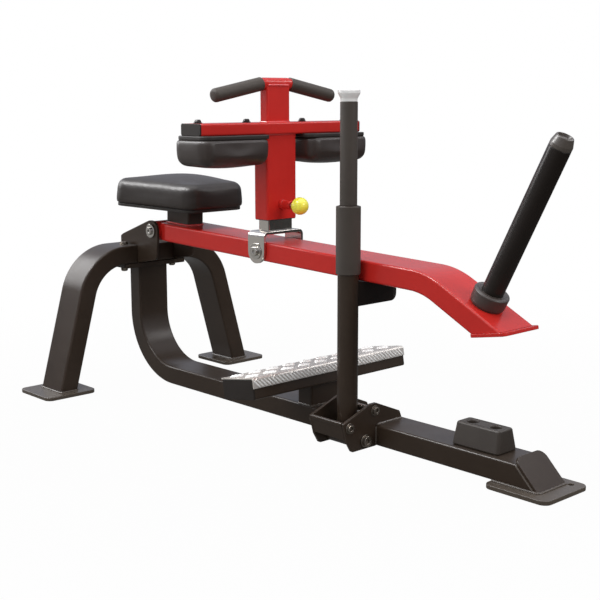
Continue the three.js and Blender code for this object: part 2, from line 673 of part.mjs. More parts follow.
function pivotShaft() {
  const end = pivotPlateOuter + GAP;
  const capEnd = end + SHAFT_CAP_THICKNESS;
  const screwEnd = capEnd + SHAFT_SCREW_HEIGHT;
  const caps = SIDES.flatMap(({ sign }) => {
    const turn = sign > 0 ? Math.PI : 0;
    return [disc(SHAFT_CAP_RADIUS, end, capEnd, ALONG_Y, ROUND_STEPS).rotateX(turn),
      disc(SHAFT_SCREW_RADIUS, end, screwEnd, ALONG_Y).rotateX(turn)];
  });
  const sockets = [1, -1].map((sign) =>
    disc(SHAFT_SOCKET_RADIUS, screwEnd - SHAFT_SOCKET_DEPTH, screwEnd + OVERRUN, ALONG_Y, HEX_STEPS)
      .rotateX(sign > 0 ? Math.PI : 0));
  const shaft = cut(join(disc(SHAFT_RADIUS, -capEnd, capEnd, ALONG_Y, ROUND_STEPS), ...caps), ...sockets);
  const mesh = piece("pivot_shaft", shaft, STEEL);
  mesh.position.set(PIVOT_AHEAD, 0, pivotHeight);
  return mesh;
}

// Foot platform: a tilted tube on a pillar, with a tread plate that wraps over its front edge
const platformTilt = radians(PLATFORM_TILT);
const platformPlace = { x: platformAhead, z: PLATFORM_HEIGHT, turnY: -platformTilt };

function platformPillar() {
  const underside = PLATFORM_HEIGHT + PILLAR_AHEAD * Math.tan(platformTilt)
    - (PLATFORM_TUBE_HEIGHT / 2 + GAP) / Math.cos(platformTilt);
  const corners = [flat(pillarAhead, beamTop + GAP), flat(pillarAhead, underside + TUBE_HEIGHT)];
  const post = tube(corners, 0, TUBE_HEIGHT, TUBE_WIDTH, TUBE_WALL, TUBE_CORNER, ALONG_Y);
  const top = cutterAhead(pillarAhead, underside, platformTilt + QUARTER_TURN, 3 * TUBE_HEIGHT,
    2 * TUBE_WIDTH, ALONG_Y);
  return piece("platform_pillar", cut(post, top), CHARCOAL);
}

function platformTube() {
  const end = PLATFORM_LENGTH / 2 - PLATFORM_CAP - GAP;
  const corners = [flat(-end, 0), flat(end, 0)];
  return piece("platform_tube", tube(corners, 0, PLATFORM_TUBE_HEIGHT, PLATFORM_DEPTH, PLATFORM_WALL,
    PLATFORM_CORNER, ALONG_X), CHARCOAL);
}

function platformCap({ side, sign }) {
  const end = PLATFORM_LENGTH / 2;
  const room = 2 * (PLATFORM_WALL + GAP);
  const cover = slab(rectangle(PLATFORM_DEPTH, PLATFORM_TUBE_HEIGHT, PLATFORM_CORNER),
    end - PLATFORM_CAP, end, ALONG_Y, PLATE_EDGE);
  const plug = slab(rectangle(PLATFORM_DEPTH - room, PLATFORM_TUBE_HEIGHT - room, PLATFORM_WALL),
    end - PLATFORM_CAP - PLATFORM_PLUG, end - PLATFORM_CAP / 2, ALONG_Y);
  const cap = join(cover, plug);
  return piece(`platform_cap_${side}`, surface(cap).rotateZ(sign > 0 ? Math.PI : 0), BLACK_PLASTIC);
}

function treadPlate() {
  const inner = PLATFORM_DEPTH / 2 + GAP;
  const outer = inner + TREAD_THICKNESS;
  const under = PLATFORM_TUBE_HEIGHT / 2 + GAP;
  const top = under + TREAD_THICKNESS;
  const shape = outline([
    [-outer, under, 0], [inner, under, TREAD_BEND - TREAD_THICKNESS], [inner, top - TREAD_LIP, 0],
    [outer, top - TREAD_LIP, 0], [outer, top, TREAD_BEND], [-outer, top, 0]]);
  return piece("tread_plate", slab(shape, -PLATFORM_LENGTH / 2, PLATFORM_LENGTH / 2, ALONG_Y), ALUMINIUM);
}

// Bumper that the arm's end comes down on: tapered, with a sunk screw in each of two wells
function bumperBlock() {
  const base = beamTop + GAP;
  const ring = (length, width, height) =>
    rectangle(length, width, BUMPER_CORNER).getPoints().map(({ x, y }) => new THREE.Vector3(x, y, height));
  const crest = bumperTop - BUMPER_EDGE;
  const body = loft([ring(BUMPER_BASE_LENGTH, BUMPER_BASE_WIDTH, base),
    ring(BUMPER_TOP_LENGTH, BUMPER_TOP_WIDTH, crest),
    ring(BUMPER_TOP_LENGTH - BUMPER_EDGE / 2, BUMPER_TOP_WIDTH - BUMPER_EDGE / 2,
      bumperTop - BUMPER_EDGE / 3),
    ring(BUMPER_TOP_LENGTH - 2 * BUMPER_EDGE, BUMPER_TOP_WIDTH - 2 * BUMPER_EDGE, bumperTop)]);
  const floor = bumperTop - BUMPER_HOLE_DEPTH;
  const at = (shape, sign) => shape.translate(sign * BUMPER_HOLE_SPREAD / 2, 0, 0);
  const wells = SIDES.map(({ sign }) =>
    at(disc(BUMPER_HOLE_RADIUS, floor, bumperTop + OVERRUN, ALONG_Z), sign));
  const screws = SIDES.map(({ sign }) =>
    at(disc(BUMPER_SCREW_RADIUS, base + BUMPER_EDGE, floor + BUMPER_SCREW_HEIGHT, ALONG_Z), sign));
  const mesh = piece("bumper_block", join(cut(body, ...wells), ...screws), RUBBER);
  mesh.position.x = BEAM_TOP_LENGTH - BUMPER_BACK;
  return mesh;
}

// Lever bracket: two notched plates astride the beam, a side plate between them and three bolts
function leverPlateShape() {
  const beamSide = TUBE_WIDTH / 2 + GAP;
  const top = beamTop + GAP;
  const shape = outline([
    [-beamSide, top, 0], [-beamSide, footTop, 0],
    [-LEVER_PLATE_TOE, footTop], [-LEVER_PLATE_HEEL, LEVER_PLATE_HEEL_HEIGHT],
    [-LEVER_PLATE_REACH, LEVER_PLATE_REACH_HEIGHT, LEVER_PLATE_CORNER / 3],
    [-LEVER_PLATE_CREST, LEVER_PLATE_CREST_HEIGHT], [-LEVER_PLATE_CREST_INNER, LEVER_PLATE_CREST_HEIGHT],
    [LEVER_PLATE_FAR, LEVER_PLATE_FAR_HEIGHT], [LEVER_PLATE_FAR_FOOT, top, 0]].reverse(),
    LEVER_PLATE_CORNER, SECTION_STEPS + 1);
  hole(shape, -LEVER_ASIDE, LEVER_PIVOT_HEIGHT, LEVER_BOLT_RADIUS + GAP);
  hole(shape, -OUTER_STOP_ASIDE, OUTER_STOP_HEIGHT, STOP_RADIUS + GAP);
  hole(shape, -innerStopAside, INNER_STOP_HEIGHT, STOP_RADIUS + GAP);
  return shape;
}

function leverPlate(name, from, to) {
  return piece(name, slab(leverPlateShape(), from, to, ALONG_X), CHARCOAL);
}

function leverSidePlate() {
  const lean = (LEVER_PLATE_REACH - LEVER_PLATE_HEEL) / (LEVER_PLATE_REACH_HEIGHT - LEVER_PLATE_HEEL_HEIGHT);
  const bottom = LEVER_PLATE_HEEL_HEIGHT + LEVER_PLATE_CORNER / 2;
  const top = LEVER_PLATE_REACH_HEIGHT - LEVER_PLATE_CORNER / 3;
  const edge = (height) => -LEVER_PLATE_HEEL - (height - LEVER_PLATE_HEEL_HEIGHT) * lean + GAP;
  const shape = outline([[edge(bottom), bottom], [edge(bottom) + LEVER_SIDE_THICKNESS, bottom],
    [edge(top) + LEVER_SIDE_THICKNESS, top], [edge(top), top]]);
  const plate = slab(shape, leverRearPlate + GAP, leverFrontPlate - GAP, ALONG_X);
  return piece("lever_side_plate", plate, CHARCOAL);
}

// A bolt through both lever plates, with its head in front and its nut behind.
function bracketBolt(name, radius, flats, head, aside, height) {
  const front = leverFrontPlate + LEVER_PLATE_THICKNESS + GAP;
  const rear = leverRearPlate - LEVER_PLATE_THICKNESS - GAP;
  const bolt = join(
    disc(radius, rear - head, front + head / 2, ALONG_X),
    hexagon(flats, front, front + head, ALONG_X),
    hexagon(flats, rear - head, rear, ALONG_X));
  const mesh = piece(name, bolt, BLACK_STEEL);
  mesh.position.set(0, -aside, height);
  return mesh;
}

function frameBody() {
  return group([
    ...SIDES.map(rearFootPlate), frontFootPlate(), mainBeam(), beamEndPlate(),
    rearArch(), riserFlange(), ...SIDES.map(flangeBolt), ...SIDES.map(pivotPlate), pivotShaft(),
    platformPillar(), group([platformTube(), treadPlate(), ...SIDES.map(platformCap)], platformPlace),
    bumperBlock(),
    leverPlate("lever_plate_front", leverFrontPlate, leverFrontPlate + LEVER_PLATE_THICKNESS),
    leverPlate("lever_plate_rear", leverRearPlate - LEVER_PLATE_THICKNESS, leverRearPlate),
    leverSidePlate(),
    bracketBolt("lever_pivot_bolt", LEVER_BOLT_RADIUS, LEVER_BOLT_FLATS, LEVER_BOLT_HEAD,
      LEVER_ASIDE, LEVER_PIVOT_HEIGHT),
    bracketBolt("lever_stop_outer", STOP_RADIUS, STOP_HEAD_FLATS, STOP_HEAD,
      OUTER_STOP_ASIDE, OUTER_STOP_HEIGHT),
    bracketBolt("lever_stop_inner", STOP_RADIUS, STOP_HEAD_FLATS, STOP_HEAD,
      innerStopAside, INNER_STOP_HEIGHT)]);
}

// The arm, laid out from its pivot, along the arm and square to it
const armFall = radians(ARM_FALL);
const armDrop = radians(ARM_DROP);
const armCorner = flat(ARM_REACH, 0);
const tailWay = flat(Math.cos(armDrop), -Math.sin(armDrop));
const tailUp = flat(-tailWay.y, tailWay.x);
const armEnd = armCorner.clone().addScaledVector(tailWay, ARM_END_ALONG).addScaledVector(tailUp, -armTop);
const endTilt = radians(ARM_END_TILT + ARM_FALL);

function armTube() {
  const tail = armCorner.clone().addScaledVector(tailWay, ARM_END_ALONG + 2 * ARM_HEIGHT);
  const corners = [flat(ARM_TUBE_START, 0), armCorner, tail];
  const run = tube(corners, ARM_BEND, ARM_HEIGHT, ARM_WIDTH, ARM_WALL, TUBE_CORNER, ALONG_Y);
  const end = cutterAhead(armEnd.x, armEnd.y, endTilt - QUARTER_TURN, 4 * ARM_HEIGHT, 2 * ARM_WIDTH,
    ALONG_Y);
  const boltHole = bore(SADDLE_BOLT_RADIUS + RUNNING_GAP, -ARM_WIDTH, ARM_WIDTH, ALONG_Y)
    .translate(SADDLE_ALONG, 0, 0);
  const barrel = disc(BARREL_RADIUS, -armSide, armSide, ALONG_Y, ROUND_STEPS);
  const neck = block([0, ARM_TUBE_START + ARM_WALL], [-NECK_WIDTH / 2, NECK_WIDTH / 2], [-armTop, armTop]);
  const shaftHole = bore(SHAFT_RADIUS + RUNNING_GAP + BUSHING_WALL + GAP, -ARM_WIDTH, ARM_WIDTH, ALONG_Y,
    ROUND_STEPS);
  return piece("arm_tube", cut(join(cut(run, end, boltHole), barrel, neck), shaftHole), RED);
}

function pivotBushing({ side, sign }) {
  const inner = SHAFT_RADIUS + RUNNING_GAP;
  const shell = cut(
    disc(inner + BUSHING_WALL, armSide - BUSHING_LENGTH, armSide, ALONG_Y, ROUND_STEPS),
    bore(inner, -ARM_WIDTH, ARM_WIDTH, ALONG_Y, ROUND_STEPS));
  return piece(`pivot_bushing_${side}`, surface(shell).rotateZ(sign > 0 ? Math.PI : 0), BRONZE);
}

function armEndPlate() {
  const shape = rectangle(ARM_END_PLATE_LENGTH, ARM_END_PLATE_WIDTH, ARM_END_PLATE_CORNER);
  const plate = slab(shape, -ARM_END_PLATE_THICKNESS - GAP, -GAP, ALONG_Z)
    .translate(ARM_END_PLATE_LENGTH / 2, 0, 0);
  const mesh = piece("arm_end_plate", plate, RED);
  mesh.rotation.y = -endTilt;
  mesh.position.set(armEnd.x, 0, armEnd.y);
  return mesh;
}

// The horn stands square on the tail's top, laid out from there.
function hornGroup() {
  const foot = armCorner.clone().addScaledVector(tailWay, HORN_ALONG)
    .addScaledVector(tailUp, armTop + GAP);
  const inner = HORN_RADIUS - HORN_WALL;
  const plug = inner - GAP;
  const horn = cut(disc(HORN_RADIUS, 0, HORN_LENGTH - HORN_CAP_HEIGHT, ALONG_Z, ROUND_STEPS),
    disc(inner, -OVERRUN, HORN_LENGTH, ALONG_Z, ROUND_STEPS));
  const hollow = HORN_RADIUS + GAP;
  const collar = turned([[hollow, 0], [COLLAR_BASE_RADIUS, 0], [COLLAR_RADIUS, COLLAR_HEIGHT / 2],
    [COLLAR_RADIUS, COLLAR_HEIGHT - COLLAR_RECESS / 2], [COLLAR_RADIUS - COLLAR_RECESS / 2, COLLAR_HEIGHT],
    [COLLAR_RADIUS - COLLAR_RIM, COLLAR_HEIGHT], [COLLAR_RADIUS - COLLAR_RIM, COLLAR_HEIGHT - COLLAR_RECESS],
    [hollow, COLLAR_HEIGHT - COLLAR_RECESS], [hollow, 0]], ALONG_Z);
  const capBase = HORN_LENGTH - HORN_CAP_HEIGHT + GAP;
  const cap = turned([[0, capBase - HORN_CAP_PLUG], [plug, capBase - HORN_CAP_PLUG], [plug, capBase],
    [HORN_RADIUS, capBase], [HORN_RADIUS, HORN_LENGTH - HORN_WALL],
    [HORN_RADIUS - HORN_WALL / 2, HORN_LENGTH - GAP], [HORN_RADIUS - 2 * HORN_WALL, HORN_LENGTH],
    [HORN_RADIUS - 3 * HORN_WALL, HORN_LENGTH - HORN_WALL], [0, HORN_LENGTH - HORN_WALL]], ALONG_Z);
  return group([piece("weight_horn", horn, BLACK_STEEL), piece("horn_collar", collar, RUBBER),
    piece("horn_cap", cap, BLACK_PLASTIC)], { x: foot.x, z: foot.y, turnY: armDrop });
}

// Seat: a post on the arm, a plate and a cushion that narrows towards the knees
function seatGroup() {
  const [half, rear, front] = [SEAT_LENGTH / 2, SEAT_REAR_WIDTH / 2, SEAT_FRONT_WIDTH / 2];
  const plateBase = armTop + GAP + SEAT_POST_HEIGHT + GAP;
  const padBase = plateBase + SEAT_PLATE_THICKNESS + GAP;
  const post = tube([flat(0, armTop + GAP), flat(0, armTop + GAP + SEAT_POST_HEIGHT)], 0,
    SEAT_POST_LENGTH, SEAT_POST_WIDTH, TUBE_WALL, TUBE_CORNER, ALONG_Y);
  const plate = slab(rectangle(SEAT_PLATE_LENGTH, SEAT_PLATE_WIDTH, FOOT_CORNER), plateBase,
    plateBase + SEAT_PLATE_THICKNESS, ALONG_Z);
  const plan = outline([[-half, -rear], [half, -front], [half, front], [-half, rear]],
    SEAT_CORNER, CUSHION_CORNER_STEPS);
  const pad = cushion(plan, {
    halfWidth: SEAT_FRONT_WIDTH / 2, thickness: SEAT_THICKNESS, crown: SEAT_CROWN,
    topRound: SEAT_TOP_ROUND, baseRound: SEAT_BASE_ROUND, drawIn: SEAT_DRAW_IN });
  return group([piece("seat_post", post, CHARCOAL),
    piece("seat_plate", plate, CHARCOAL),
    piece("seat_cushion", pad.translate(SEAT_AHEAD, 0, padBase), VINYL)], { x: SEAT_ALONG });
}

// Knee post, laid out upright from its tilt bolt
const saddleHeight = pivotHeight - SADDLE_ALONG * Math.sin(armFall);
const saddleInner = armSide + SADDLE_SIDE_GAP;
const saddleOuter = saddleInner + SADDLE_PLATE;
const saddleUnder = armTop + SADDLE_CLEARANCE;
const saddleTop = saddleUnder + SADDLE_PLATE;
const sleeveFront = SLEEVE_LENGTH / 2;
const above = (height) => height - saddleHeight;

function saddleBracket() {
  const bend = SADDLE_BEND - SADDLE_PLATE;
  const drop = -SADDLE_LENGTH / 2;
  const arch = outline([
    [-saddleOuter, drop, 0], [-saddleInner, drop, 0], [-saddleInner, saddleUnder, bend],
    [saddleInner, saddleUnder, bend], [saddleInner, drop, 0], [saddleOuter, drop, 0],
    [saddleOuter, saddleTop, SADDLE_BEND], [-saddleOuter, saddleTop, SADDLE_BEND]]);
  const folded = slab(arch, -SADDLE_LENGTH / 2, SADDLE_LENGTH / 2, ALONG_X);
  const lug = new THREE.Shape();
  lug.moveTo(SADDLE_LENGTH / 2, 2 * saddleTop).lineTo(-SADDLE_LENGTH / 2, 2 * saddleTop);
  lug.lineTo(-SADDLE_LENGTH / 2, 0).absarc(0, 0, SADDLE_LENGTH / 2, Math.PI, 2 * Math.PI, false);
  const profile = new THREE.Shape(lug.getPoints(SADDLE_ROUND_STEPS));
  const keep = slab(profile, -ARM_WIDTH, ARM_WIDTH, ALONG_Y);
  const boltHole = bore(SADDLE_BOLT_RADIUS + GAP, -ARM_WIDTH, ARM_WIDTH, ALONG_Y);
  return piece("saddle_bracket", cut(solid(folded).intersect(solid(keep)), boltHole), CHROME);
}

function saddleBolt() {
  const face = saddleOuter + GAP;
  const washerEnd = face + SADDLE_WASHER_THICKNESS;
  const headEnd = washerEnd + SADDLE_HEAD_HEIGHT;
  const ends = SIDES.map(({ sign }) => {
    const half = cut(
      join(disc(SADDLE_WASHER_RADIUS, face, washerEnd, ALONG_Y, ROUND_STEPS),
        disc(SADDLE_HEAD_RADIUS, face, headEnd, ALONG_Y)),
      disc(SADDLE_SOCKET_RADIUS, headEnd - SADDLE_SOCKET_DEPTH, headEnd + OVERRUN, ALONG_Y, HEX_STEPS));
    return surface(half).rotateZ(sign > 0 ? Math.PI : 0);
  });
  const shank = disc(SADDLE_BOLT_RADIUS, -washerEnd, washerEnd, ALONG_Y);
  return piece("saddle_bolt", join(shank, ...ends), STEEL);
}

const pinHole = () =>
  bore(PIN_RADIUS + RUNNING_GAP, 0, SLEEVE_LENGTH, ALONG_X).translate(0, 0, above(pinHeight));

// The inner post carries the row of holes that the pull pin drops into.
function innerPost() {
  const post = tube([flat(0, saddleTop + GAP), flat(0, above(crossbarBottom - INNER_POST_ROOM))], 0,
    INNER_POST_LENGTH, INNER_POST_WIDTH, INNER_POST_WALL, INNER_POST_CORNER, ALONG_Y);
  const holes = [];
  for (let step = -PIN_HOLES_BELOW; step <= PIN_HOLES_ABOVE; step += 1) {
    holes.push(pinHole().translate(0, 0, step * PIN_HOLE_PITCH));
  }
  return piece("inner_post", cut(post, ...holes), CHROME);
}

function outerSleeve() {
  const sleeve = tube([flat(0, above(sleeveBottom)), flat(0, above(crossbarBottom - GAP))], 0,
    SLEEVE_LENGTH, SLEEVE_WIDTH, TUBE_WALL, TUBE_CORNER, ALONG_Y);
  return piece("outer_sleeve", cut(sleeve, pinHole()), RED);
}

function sleeveLiner() {
  const room = 2 * (TUBE_WALL + GAP);
  const base = above(sleeveBottom) - GAP;
  const lip = base - PLATE_EDGE;
  const top = base + LINER_HEIGHT;
  const outside = join(
    bar([flat(0, base - GAP), flat(0, top)], 0, SLEEVE_LENGTH - room, SLEEVE_WIDTH - room,
      TUBE_CORNER - TUBE_WALL, ALONG_Y, INSIDE_STEPS),
    bar([flat(0, lip), flat(0, base)], 0, SLEEVE_LENGTH - room / 2, SLEEVE_WIDTH - room / 2, TUBE_WALL,
      ALONG_Y));
  const inside = bar([flat(0, lip - OVERRUN), flat(0, top + OVERRUN)], 0,
    INNER_POST_LENGTH + 2 * RUNNING_GAP, INNER_POST_WIDTH + 2 * RUNNING_GAP, INNER_POST_CORNER, ALONG_Y);
  return piece("sleeve_liner", cut(outside, inside, pinHole()), BLACK_PLASTIC);
}

// Crossbar with its end caps, boards and pads
const crossbarMiddle = above(crossbarBottom) + CROSSBAR_HEIGHT / 2;
const padBoltPlaces = [PAD_BOLT_INNER, PAD_BOLT_OUTER];

function crossbar() {
  const end = CROSSBAR_LENGTH / 2 - CROSSBAR_CAP - GAP;
  const run = tube([flat(-end, 0), flat(end, 0)], 0, CROSSBAR_HEIGHT, CROSSBAR_DEPTH, CROSSBAR_WALL,
    CROSSBAR_CORNER, ALONG_X);
  const bores = SIDES.flatMap(({ sign }) => padBoltPlaces.map((place) =>
    bore(PAD_BOLT_RADIUS + GAP, -CROSSBAR_HEIGHT, CROSSBAR_HEIGHT, ALONG_Z).translate(0, sign * place, 0)));
  return piece("crossbar", surface(cut(run, ...bores)).translate(0, 0, crossbarMiddle), RED);
}

function crossbarCap({ side, sign }) {
  const end = CROSSBAR_LENGTH / 2;
  const room = 2 * (CROSSBAR_WALL + GAP);
  const cover = slab(rectangle(CROSSBAR_DEPTH, CROSSBAR_HEIGHT, CROSSBAR_CORNER),
    end - CROSSBAR_CAP, end, ALONG_Y, PLATE_EDGE);
  const plug = slab(rectangle(CROSSBAR_DEPTH - room, CROSSBAR_HEIGHT - room, CROSSBAR_WALL),
    end - CROSSBAR_CAP - CROSSBAR_PLUG, end - CROSSBAR_CAP / 2, ALONG_Y);
  const cap = surface(join(cover, plug)).rotateZ(sign > 0 ? Math.PI : 0).translate(0, 0, crossbarMiddle);
  return piece(`crossbar_cap_${side}`, cap, BLACK_PLASTIC);
}

const padMiddle = (PAD_OUTER + PAD_INNER) / 2;
const padPlan = (inset) => rectangle(PAD_DEPTH - 2 * inset, PAD_OUTER - PAD_INNER - 2 * inset,
  PAD_CORNER - inset, CUSHION_CORNER_STEPS);
const boardTop = above(crossbarBottom) - GAP;

// Each board holds the two bolts that come up through the crossbar.
function padBoard({ side, sign }) {
  const headBase = crossbarMiddle + CROSSBAR_HEIGHT / 2 + GAP;
  const washerTop = headBase + PAD_BOLT_WASHER_THICKNESS;
  const board = slab(padPlan(BOARD_INSET), boardTop - BOARD_THICKNESS, boardTop, ALONG_Z)
    .translate(PAD_AHEAD, sign * padMiddle, 0);
  const bolts = padBoltPlaces.flatMap((place) => [
    disc(PAD_BOLT_RADIUS, boardTop - BOARD_THICKNESS / 2, washerTop, ALONG_Z, HOLE_STEPS),
    disc(PAD_BOLT_WASHER, headBase, washerTop, ALONG_Z),
    turned([[0, headBase], [PAD_BOLT_HEAD, headBase], [PAD_BOLT_HEAD, washerTop + PAD_BOLT_HEAD_HEIGHT / 2],
      [PAD_BOLT_HEAD / 2, washerTop + PAD_BOLT_HEAD_HEIGHT], [0, washerTop + PAD_BOLT_HEAD_HEIGHT]],
      ALONG_Z, HEX_STEPS),
  ].map((part) => part.translate(0, sign * place, 0)));
  return piece(`pad_board_${side}`, join(board, ...bolts), BLACK_PLASTIC);
}

function kneePad({ side, sign }) {
  const top = boardTop - BOARD_THICKNESS - GAP;
  const pad = cushion(padPlan(0), {
    halfWidth: PAD_DEPTH / 2, thickness: PAD_THICKNESS - PAD_CROWN, crown: PAD_CROWN,
    topRound: PAD_BASE_ROUND, baseRound: PAD_TOP_ROUND, drawIn: PAD_DRAW_IN });
  return piece(`knee_pad_${side}`, pad.rotateX(Math.PI).translate(PAD_AHEAD, sign * padMiddle, top), VINYL);
}

// Upper post, coped round the handlebar that crosses its top
function upperPost() {
  const base = crossbarMiddle + CROSSBAR_HEIGHT / 2 + GAP;
  const post = tube([flat(0, base), flat(0, above(handleHeight))], 0, UPPER_POST_LENGTH, UPPER_POST_WIDTH,
    TUBE_WALL, UPPER_POST_CORNER, ALONG_Y);
  const cope = bore(HANDLE_RADIUS + GAP, -UPPER_POST_WIDTH, UPPER_POST_WIDTH, ALONG_Y, ROUND_STEPS)
    .translate(0, 0, above(handleHeight));
  return piece("upper_post", cut(post, cope), RED);
}

function handleRun(reach) {
  const slope = radians(HANDLE_SLOPE);
  const end = (sign) => flat(sign * reach, -(reach - HANDLE_FLAT) * Math.tan(slope));
  return [end(-1), flat(-HANDLE_FLAT, 0), flat(HANDLE_FLAT, 0), end(1)];
}

function roundBar(corners, bend, radius) {
  const stations = bentRun(corners, bend);
  return loft(stations.map(({ point, left }) => Array.from({ length: SMALL_ROUND_STEPS }, (_, step) => {
    const angle = 2 * Math.PI * step / SMALL_ROUND_STEPS;
    const across = radius * Math.cos(angle);
    return new THREE.Vector3(point.x + left.x * across, point.y + left.y * across, radius * Math.sin(angle));
  }))).applyMatrix4(ALONG_X);
}

function handlebar() {
  const run = cut(roundBar(handleRun(HANDLE_SPAN), HANDLE_BEND, HANDLE_RADIUS),
    roundBar(handleRun(HANDLE_SPAN + OVERRUN), HANDLE_BEND, HANDLE_RADIUS - HANDLE_WALL));
  return piece("handlebar", surface(run).translate(0, 0, above(handleHeight)), RED);
}

// A grip slides over the sloping stretch and closes round its end.
function grip({ side, sign }) {
  const slope = radians(HANDLE_SLOPE);
  const start = (GRIP_START - HANDLE_FLAT) / Math.cos(slope);
  const tubeEnd = (HANDLE_SPAN - HANDLE_FLAT) / Math.cos(slope);
  const hollow = HANDLE_RADIUS + GAP;
  const dome = Array.from({ length: CORNER_STEPS + 1 }, (_, step) => {
    const angle = QUARTER_TURN * step / CORNER_STEPS;
    return [GRIP_RADIUS * Math.cos(angle), tubeEnd + GAP + GRIP_RADIUS / 2 * Math.sin(angle)];
  });
  const shell = turned([[hollow, start], [GRIP_RADIUS, start], ...dome.slice(0, -1),
    [0, tubeEnd + GAP + GRIP_RADIUS / 2], [0, tubeEnd + GAP], [hollow, tubeEnd + GAP],
    [hollow, start]], ALONG_Z);
  const mesh = piece(`grip_${side}`, shell, GRIP_RUBBER);
  mesh.rotation.x = -sign * (QUARTER_TURN + slope);
  mesh.position.set(0, sign * HANDLE_FLAT, above(handleHeight));
  return mesh;
}

// Pull pin in its housing on the front of the sleeve, laid out from the sleeve's face
function plungerHousing() {
  const base = GAP;
  const end = base + HOUSING_LENGTH;
  const shell = turned([[PIN_RADIUS + RUNNING_GAP, base], [HOUSING_RADIUS, base],
    [HOUSING_RADIUS, end - PLATE_EDGE],
    [HOUSING_RADIUS - PLATE_EDGE, end], [PIN_STEM_RADIUS + RUNNING_GAP, end],
    [PIN_STEM_RADIUS + RUNNING_GAP, end - HOUSING_END_WALL], [HOUSING_BORE, end - HOUSING_END_WALL],
    [HOUSING_BORE, base + PLATE_EDGE], [PIN_RADIUS + RUNNING_GAP, base + PLATE_EDGE],
    [PIN_RADIUS + RUNNING_GAP, base]], ALONG_X);
  return piece("plunger_housing", shell, RED);
}

function plungerPin() {
  const tip = INNER_POST_LENGTH / 2 + GAP - sleeveFront;
  const stemEnd = BALL_AHEAD - BALL_RADIUS + BALL_BORE_DEPTH - GAP;
  const pin = turned([[0, tip], [PIN_RADIUS - PLATE_EDGE / 2, tip], [PIN_RADIUS, tip + PLATE_EDGE],
    [PIN_RADIUS, PIN_COLLAR_AHEAD], [PIN_COLLAR_RADIUS, PIN_COLLAR_AHEAD],
    [PIN_COLLAR_RADIUS, PIN_COLLAR_AHEAD + PIN_COLLAR_LENGTH],
    [PIN_STEM_RADIUS, PIN_COLLAR_AHEAD + PIN_COLLAR_LENGTH], [PIN_STEM_RADIUS, stemEnd], [0, stemEnd]],
    ALONG_X, SMALL_ROUND_STEPS);
  return piece("plunger_pin", pin, STEEL);
}

function ballKnob() {
  const flatAt = -Math.sqrt(BALL_RADIUS ** 2 - BALL_FLAT ** 2);
  const start = Math.asin(flatAt / BALL_RADIUS);
  const steps = ROUND_STEPS / 3;
  const dome = Array.from({ length: steps }, (_, step) => {
    const angle = start + (QUARTER_TURN - start) * step / steps;
    return [BALL_RADIUS * Math.cos(angle), BALL_RADIUS * Math.sin(angle)];
  });
  const hollow = PIN_STEM_RADIUS + GAP;
  const floor = -BALL_RADIUS + BALL_BORE_DEPTH;
  const ball = turned([[hollow, flatAt], ...dome, [0, BALL_RADIUS], [0, floor], [hollow, floor],
    [hollow, flatAt]], ALONG_X);
  return piece("ball_knob", ball.translate(BALL_AHEAD, 0, 0), YELLOW);
}

function carriageBody() {
  return group([
    outerSleeve(), sleeveLiner(), crossbar(), ...SIDES.map(crossbarCap), ...SIDES.map(padBoard),
    ...SIDES.map(kneePad), upperPost(), handlebar(), ...SIDES.map(grip),
    group([plungerHousing(), plungerPin(), ballKnob()],
      { x: sleeveFront, z: above(pinHeight) })]);
}

function armBody() {
  const knee = group([saddleBracket(), saddleBolt(), innerPost(), carriageBody()],
    { x: SADDLE_ALONG, turnY: -armFall });
  return group([armTube(), ...SIDES.map(pivotBushing), armEndPlate(), hornGroup(), seatGroup(), knee],
    { x: PIVOT_AHEAD, z: pivotHeight, turnY: armFall });
}

// Hand lever, laid out from its pivot
const over = (height) => height - LEVER_PIVOT_HEIGHT;

function leverTube() {
  const shoulder = over(leverShoulder);
  const top = over(leverTop);
  const floor = LEVER_BARREL_RADIUS;
  const post = turned([[0, 0], [LEVER_RADIUS, 0], [LEVER_RADIUS, shoulder], [LEVER_CORE_RADIUS, shoulder],
    [LEVER_CORE_RADIUS, top], [LEVER_CORE_RADIUS - LEVER_WALL, top],
    [LEVER_CORE_RADIUS - LEVER_WALL, shoulder - LEVER_WALL],
    [LEVER_RADIUS - LEVER_WALL, shoulder - LEVER_WALL],
    [LEVER_RADIUS - LEVER_WALL, floor], [0, floor]], ALONG_Z);
  const reach = LEVER_PLATE_SPREAD / 2 - RUNNING_GAP;
  const barrel = disc(LEVER_BARREL_RADIUS, -reach, reach, ALONG_X, ROUND_STEPS);
  const boltHole = bore(LEVER_BOLT_RADIUS + RUNNING_GAP, -LEVER_PLATE_SPREAD, LEVER_PLATE_SPREAD, ALONG_X);
  const below = block([-LEVER_RADIUS - OVERRUN, LEVER_RADIUS + OVERRUN], [-OVERRUN, OVERRUN], [-OVERRUN, 0]);
  return piece("lever_tube", cut(join(cut(post, below), barrel), boltHole), CHARCOAL);
}

function guardSleeve() {
  const hollow = LEVER_RADIUS + GAP;
  const to = over(leverShoulder) - PLATE_EDGE;
  const from = to - GUARD_LENGTH;
  const sleeve = turned([[hollow, from], [GUARD_RADIUS - PLATE_EDGE, from],
    [GUARD_RADIUS, from + PLATE_EDGE], [GUARD_RADIUS, to - PLATE_EDGE], [GUARD_RADIUS - PLATE_EDGE, to],
    [hollow, to], [hollow, from]], ALONG_Z);
  return piece("guard_sleeve", sleeve, RUBBER);
}

function leverGrip() {
  const hollow = LEVER_CORE_RADIUS + GAP;
  const [from, to] = [over(leverShoulder) + GAP, over(leverGripTop)];
  const sleeve = turned([[hollow, from], [LEVER_GRIP_RADIUS, from], [LEVER_GRIP_RADIUS, to], [hollow, to],
    [hollow, from]], ALONG_Z);
  return piece("lever_grip", sleeve, GRIP_RUBBER);
}

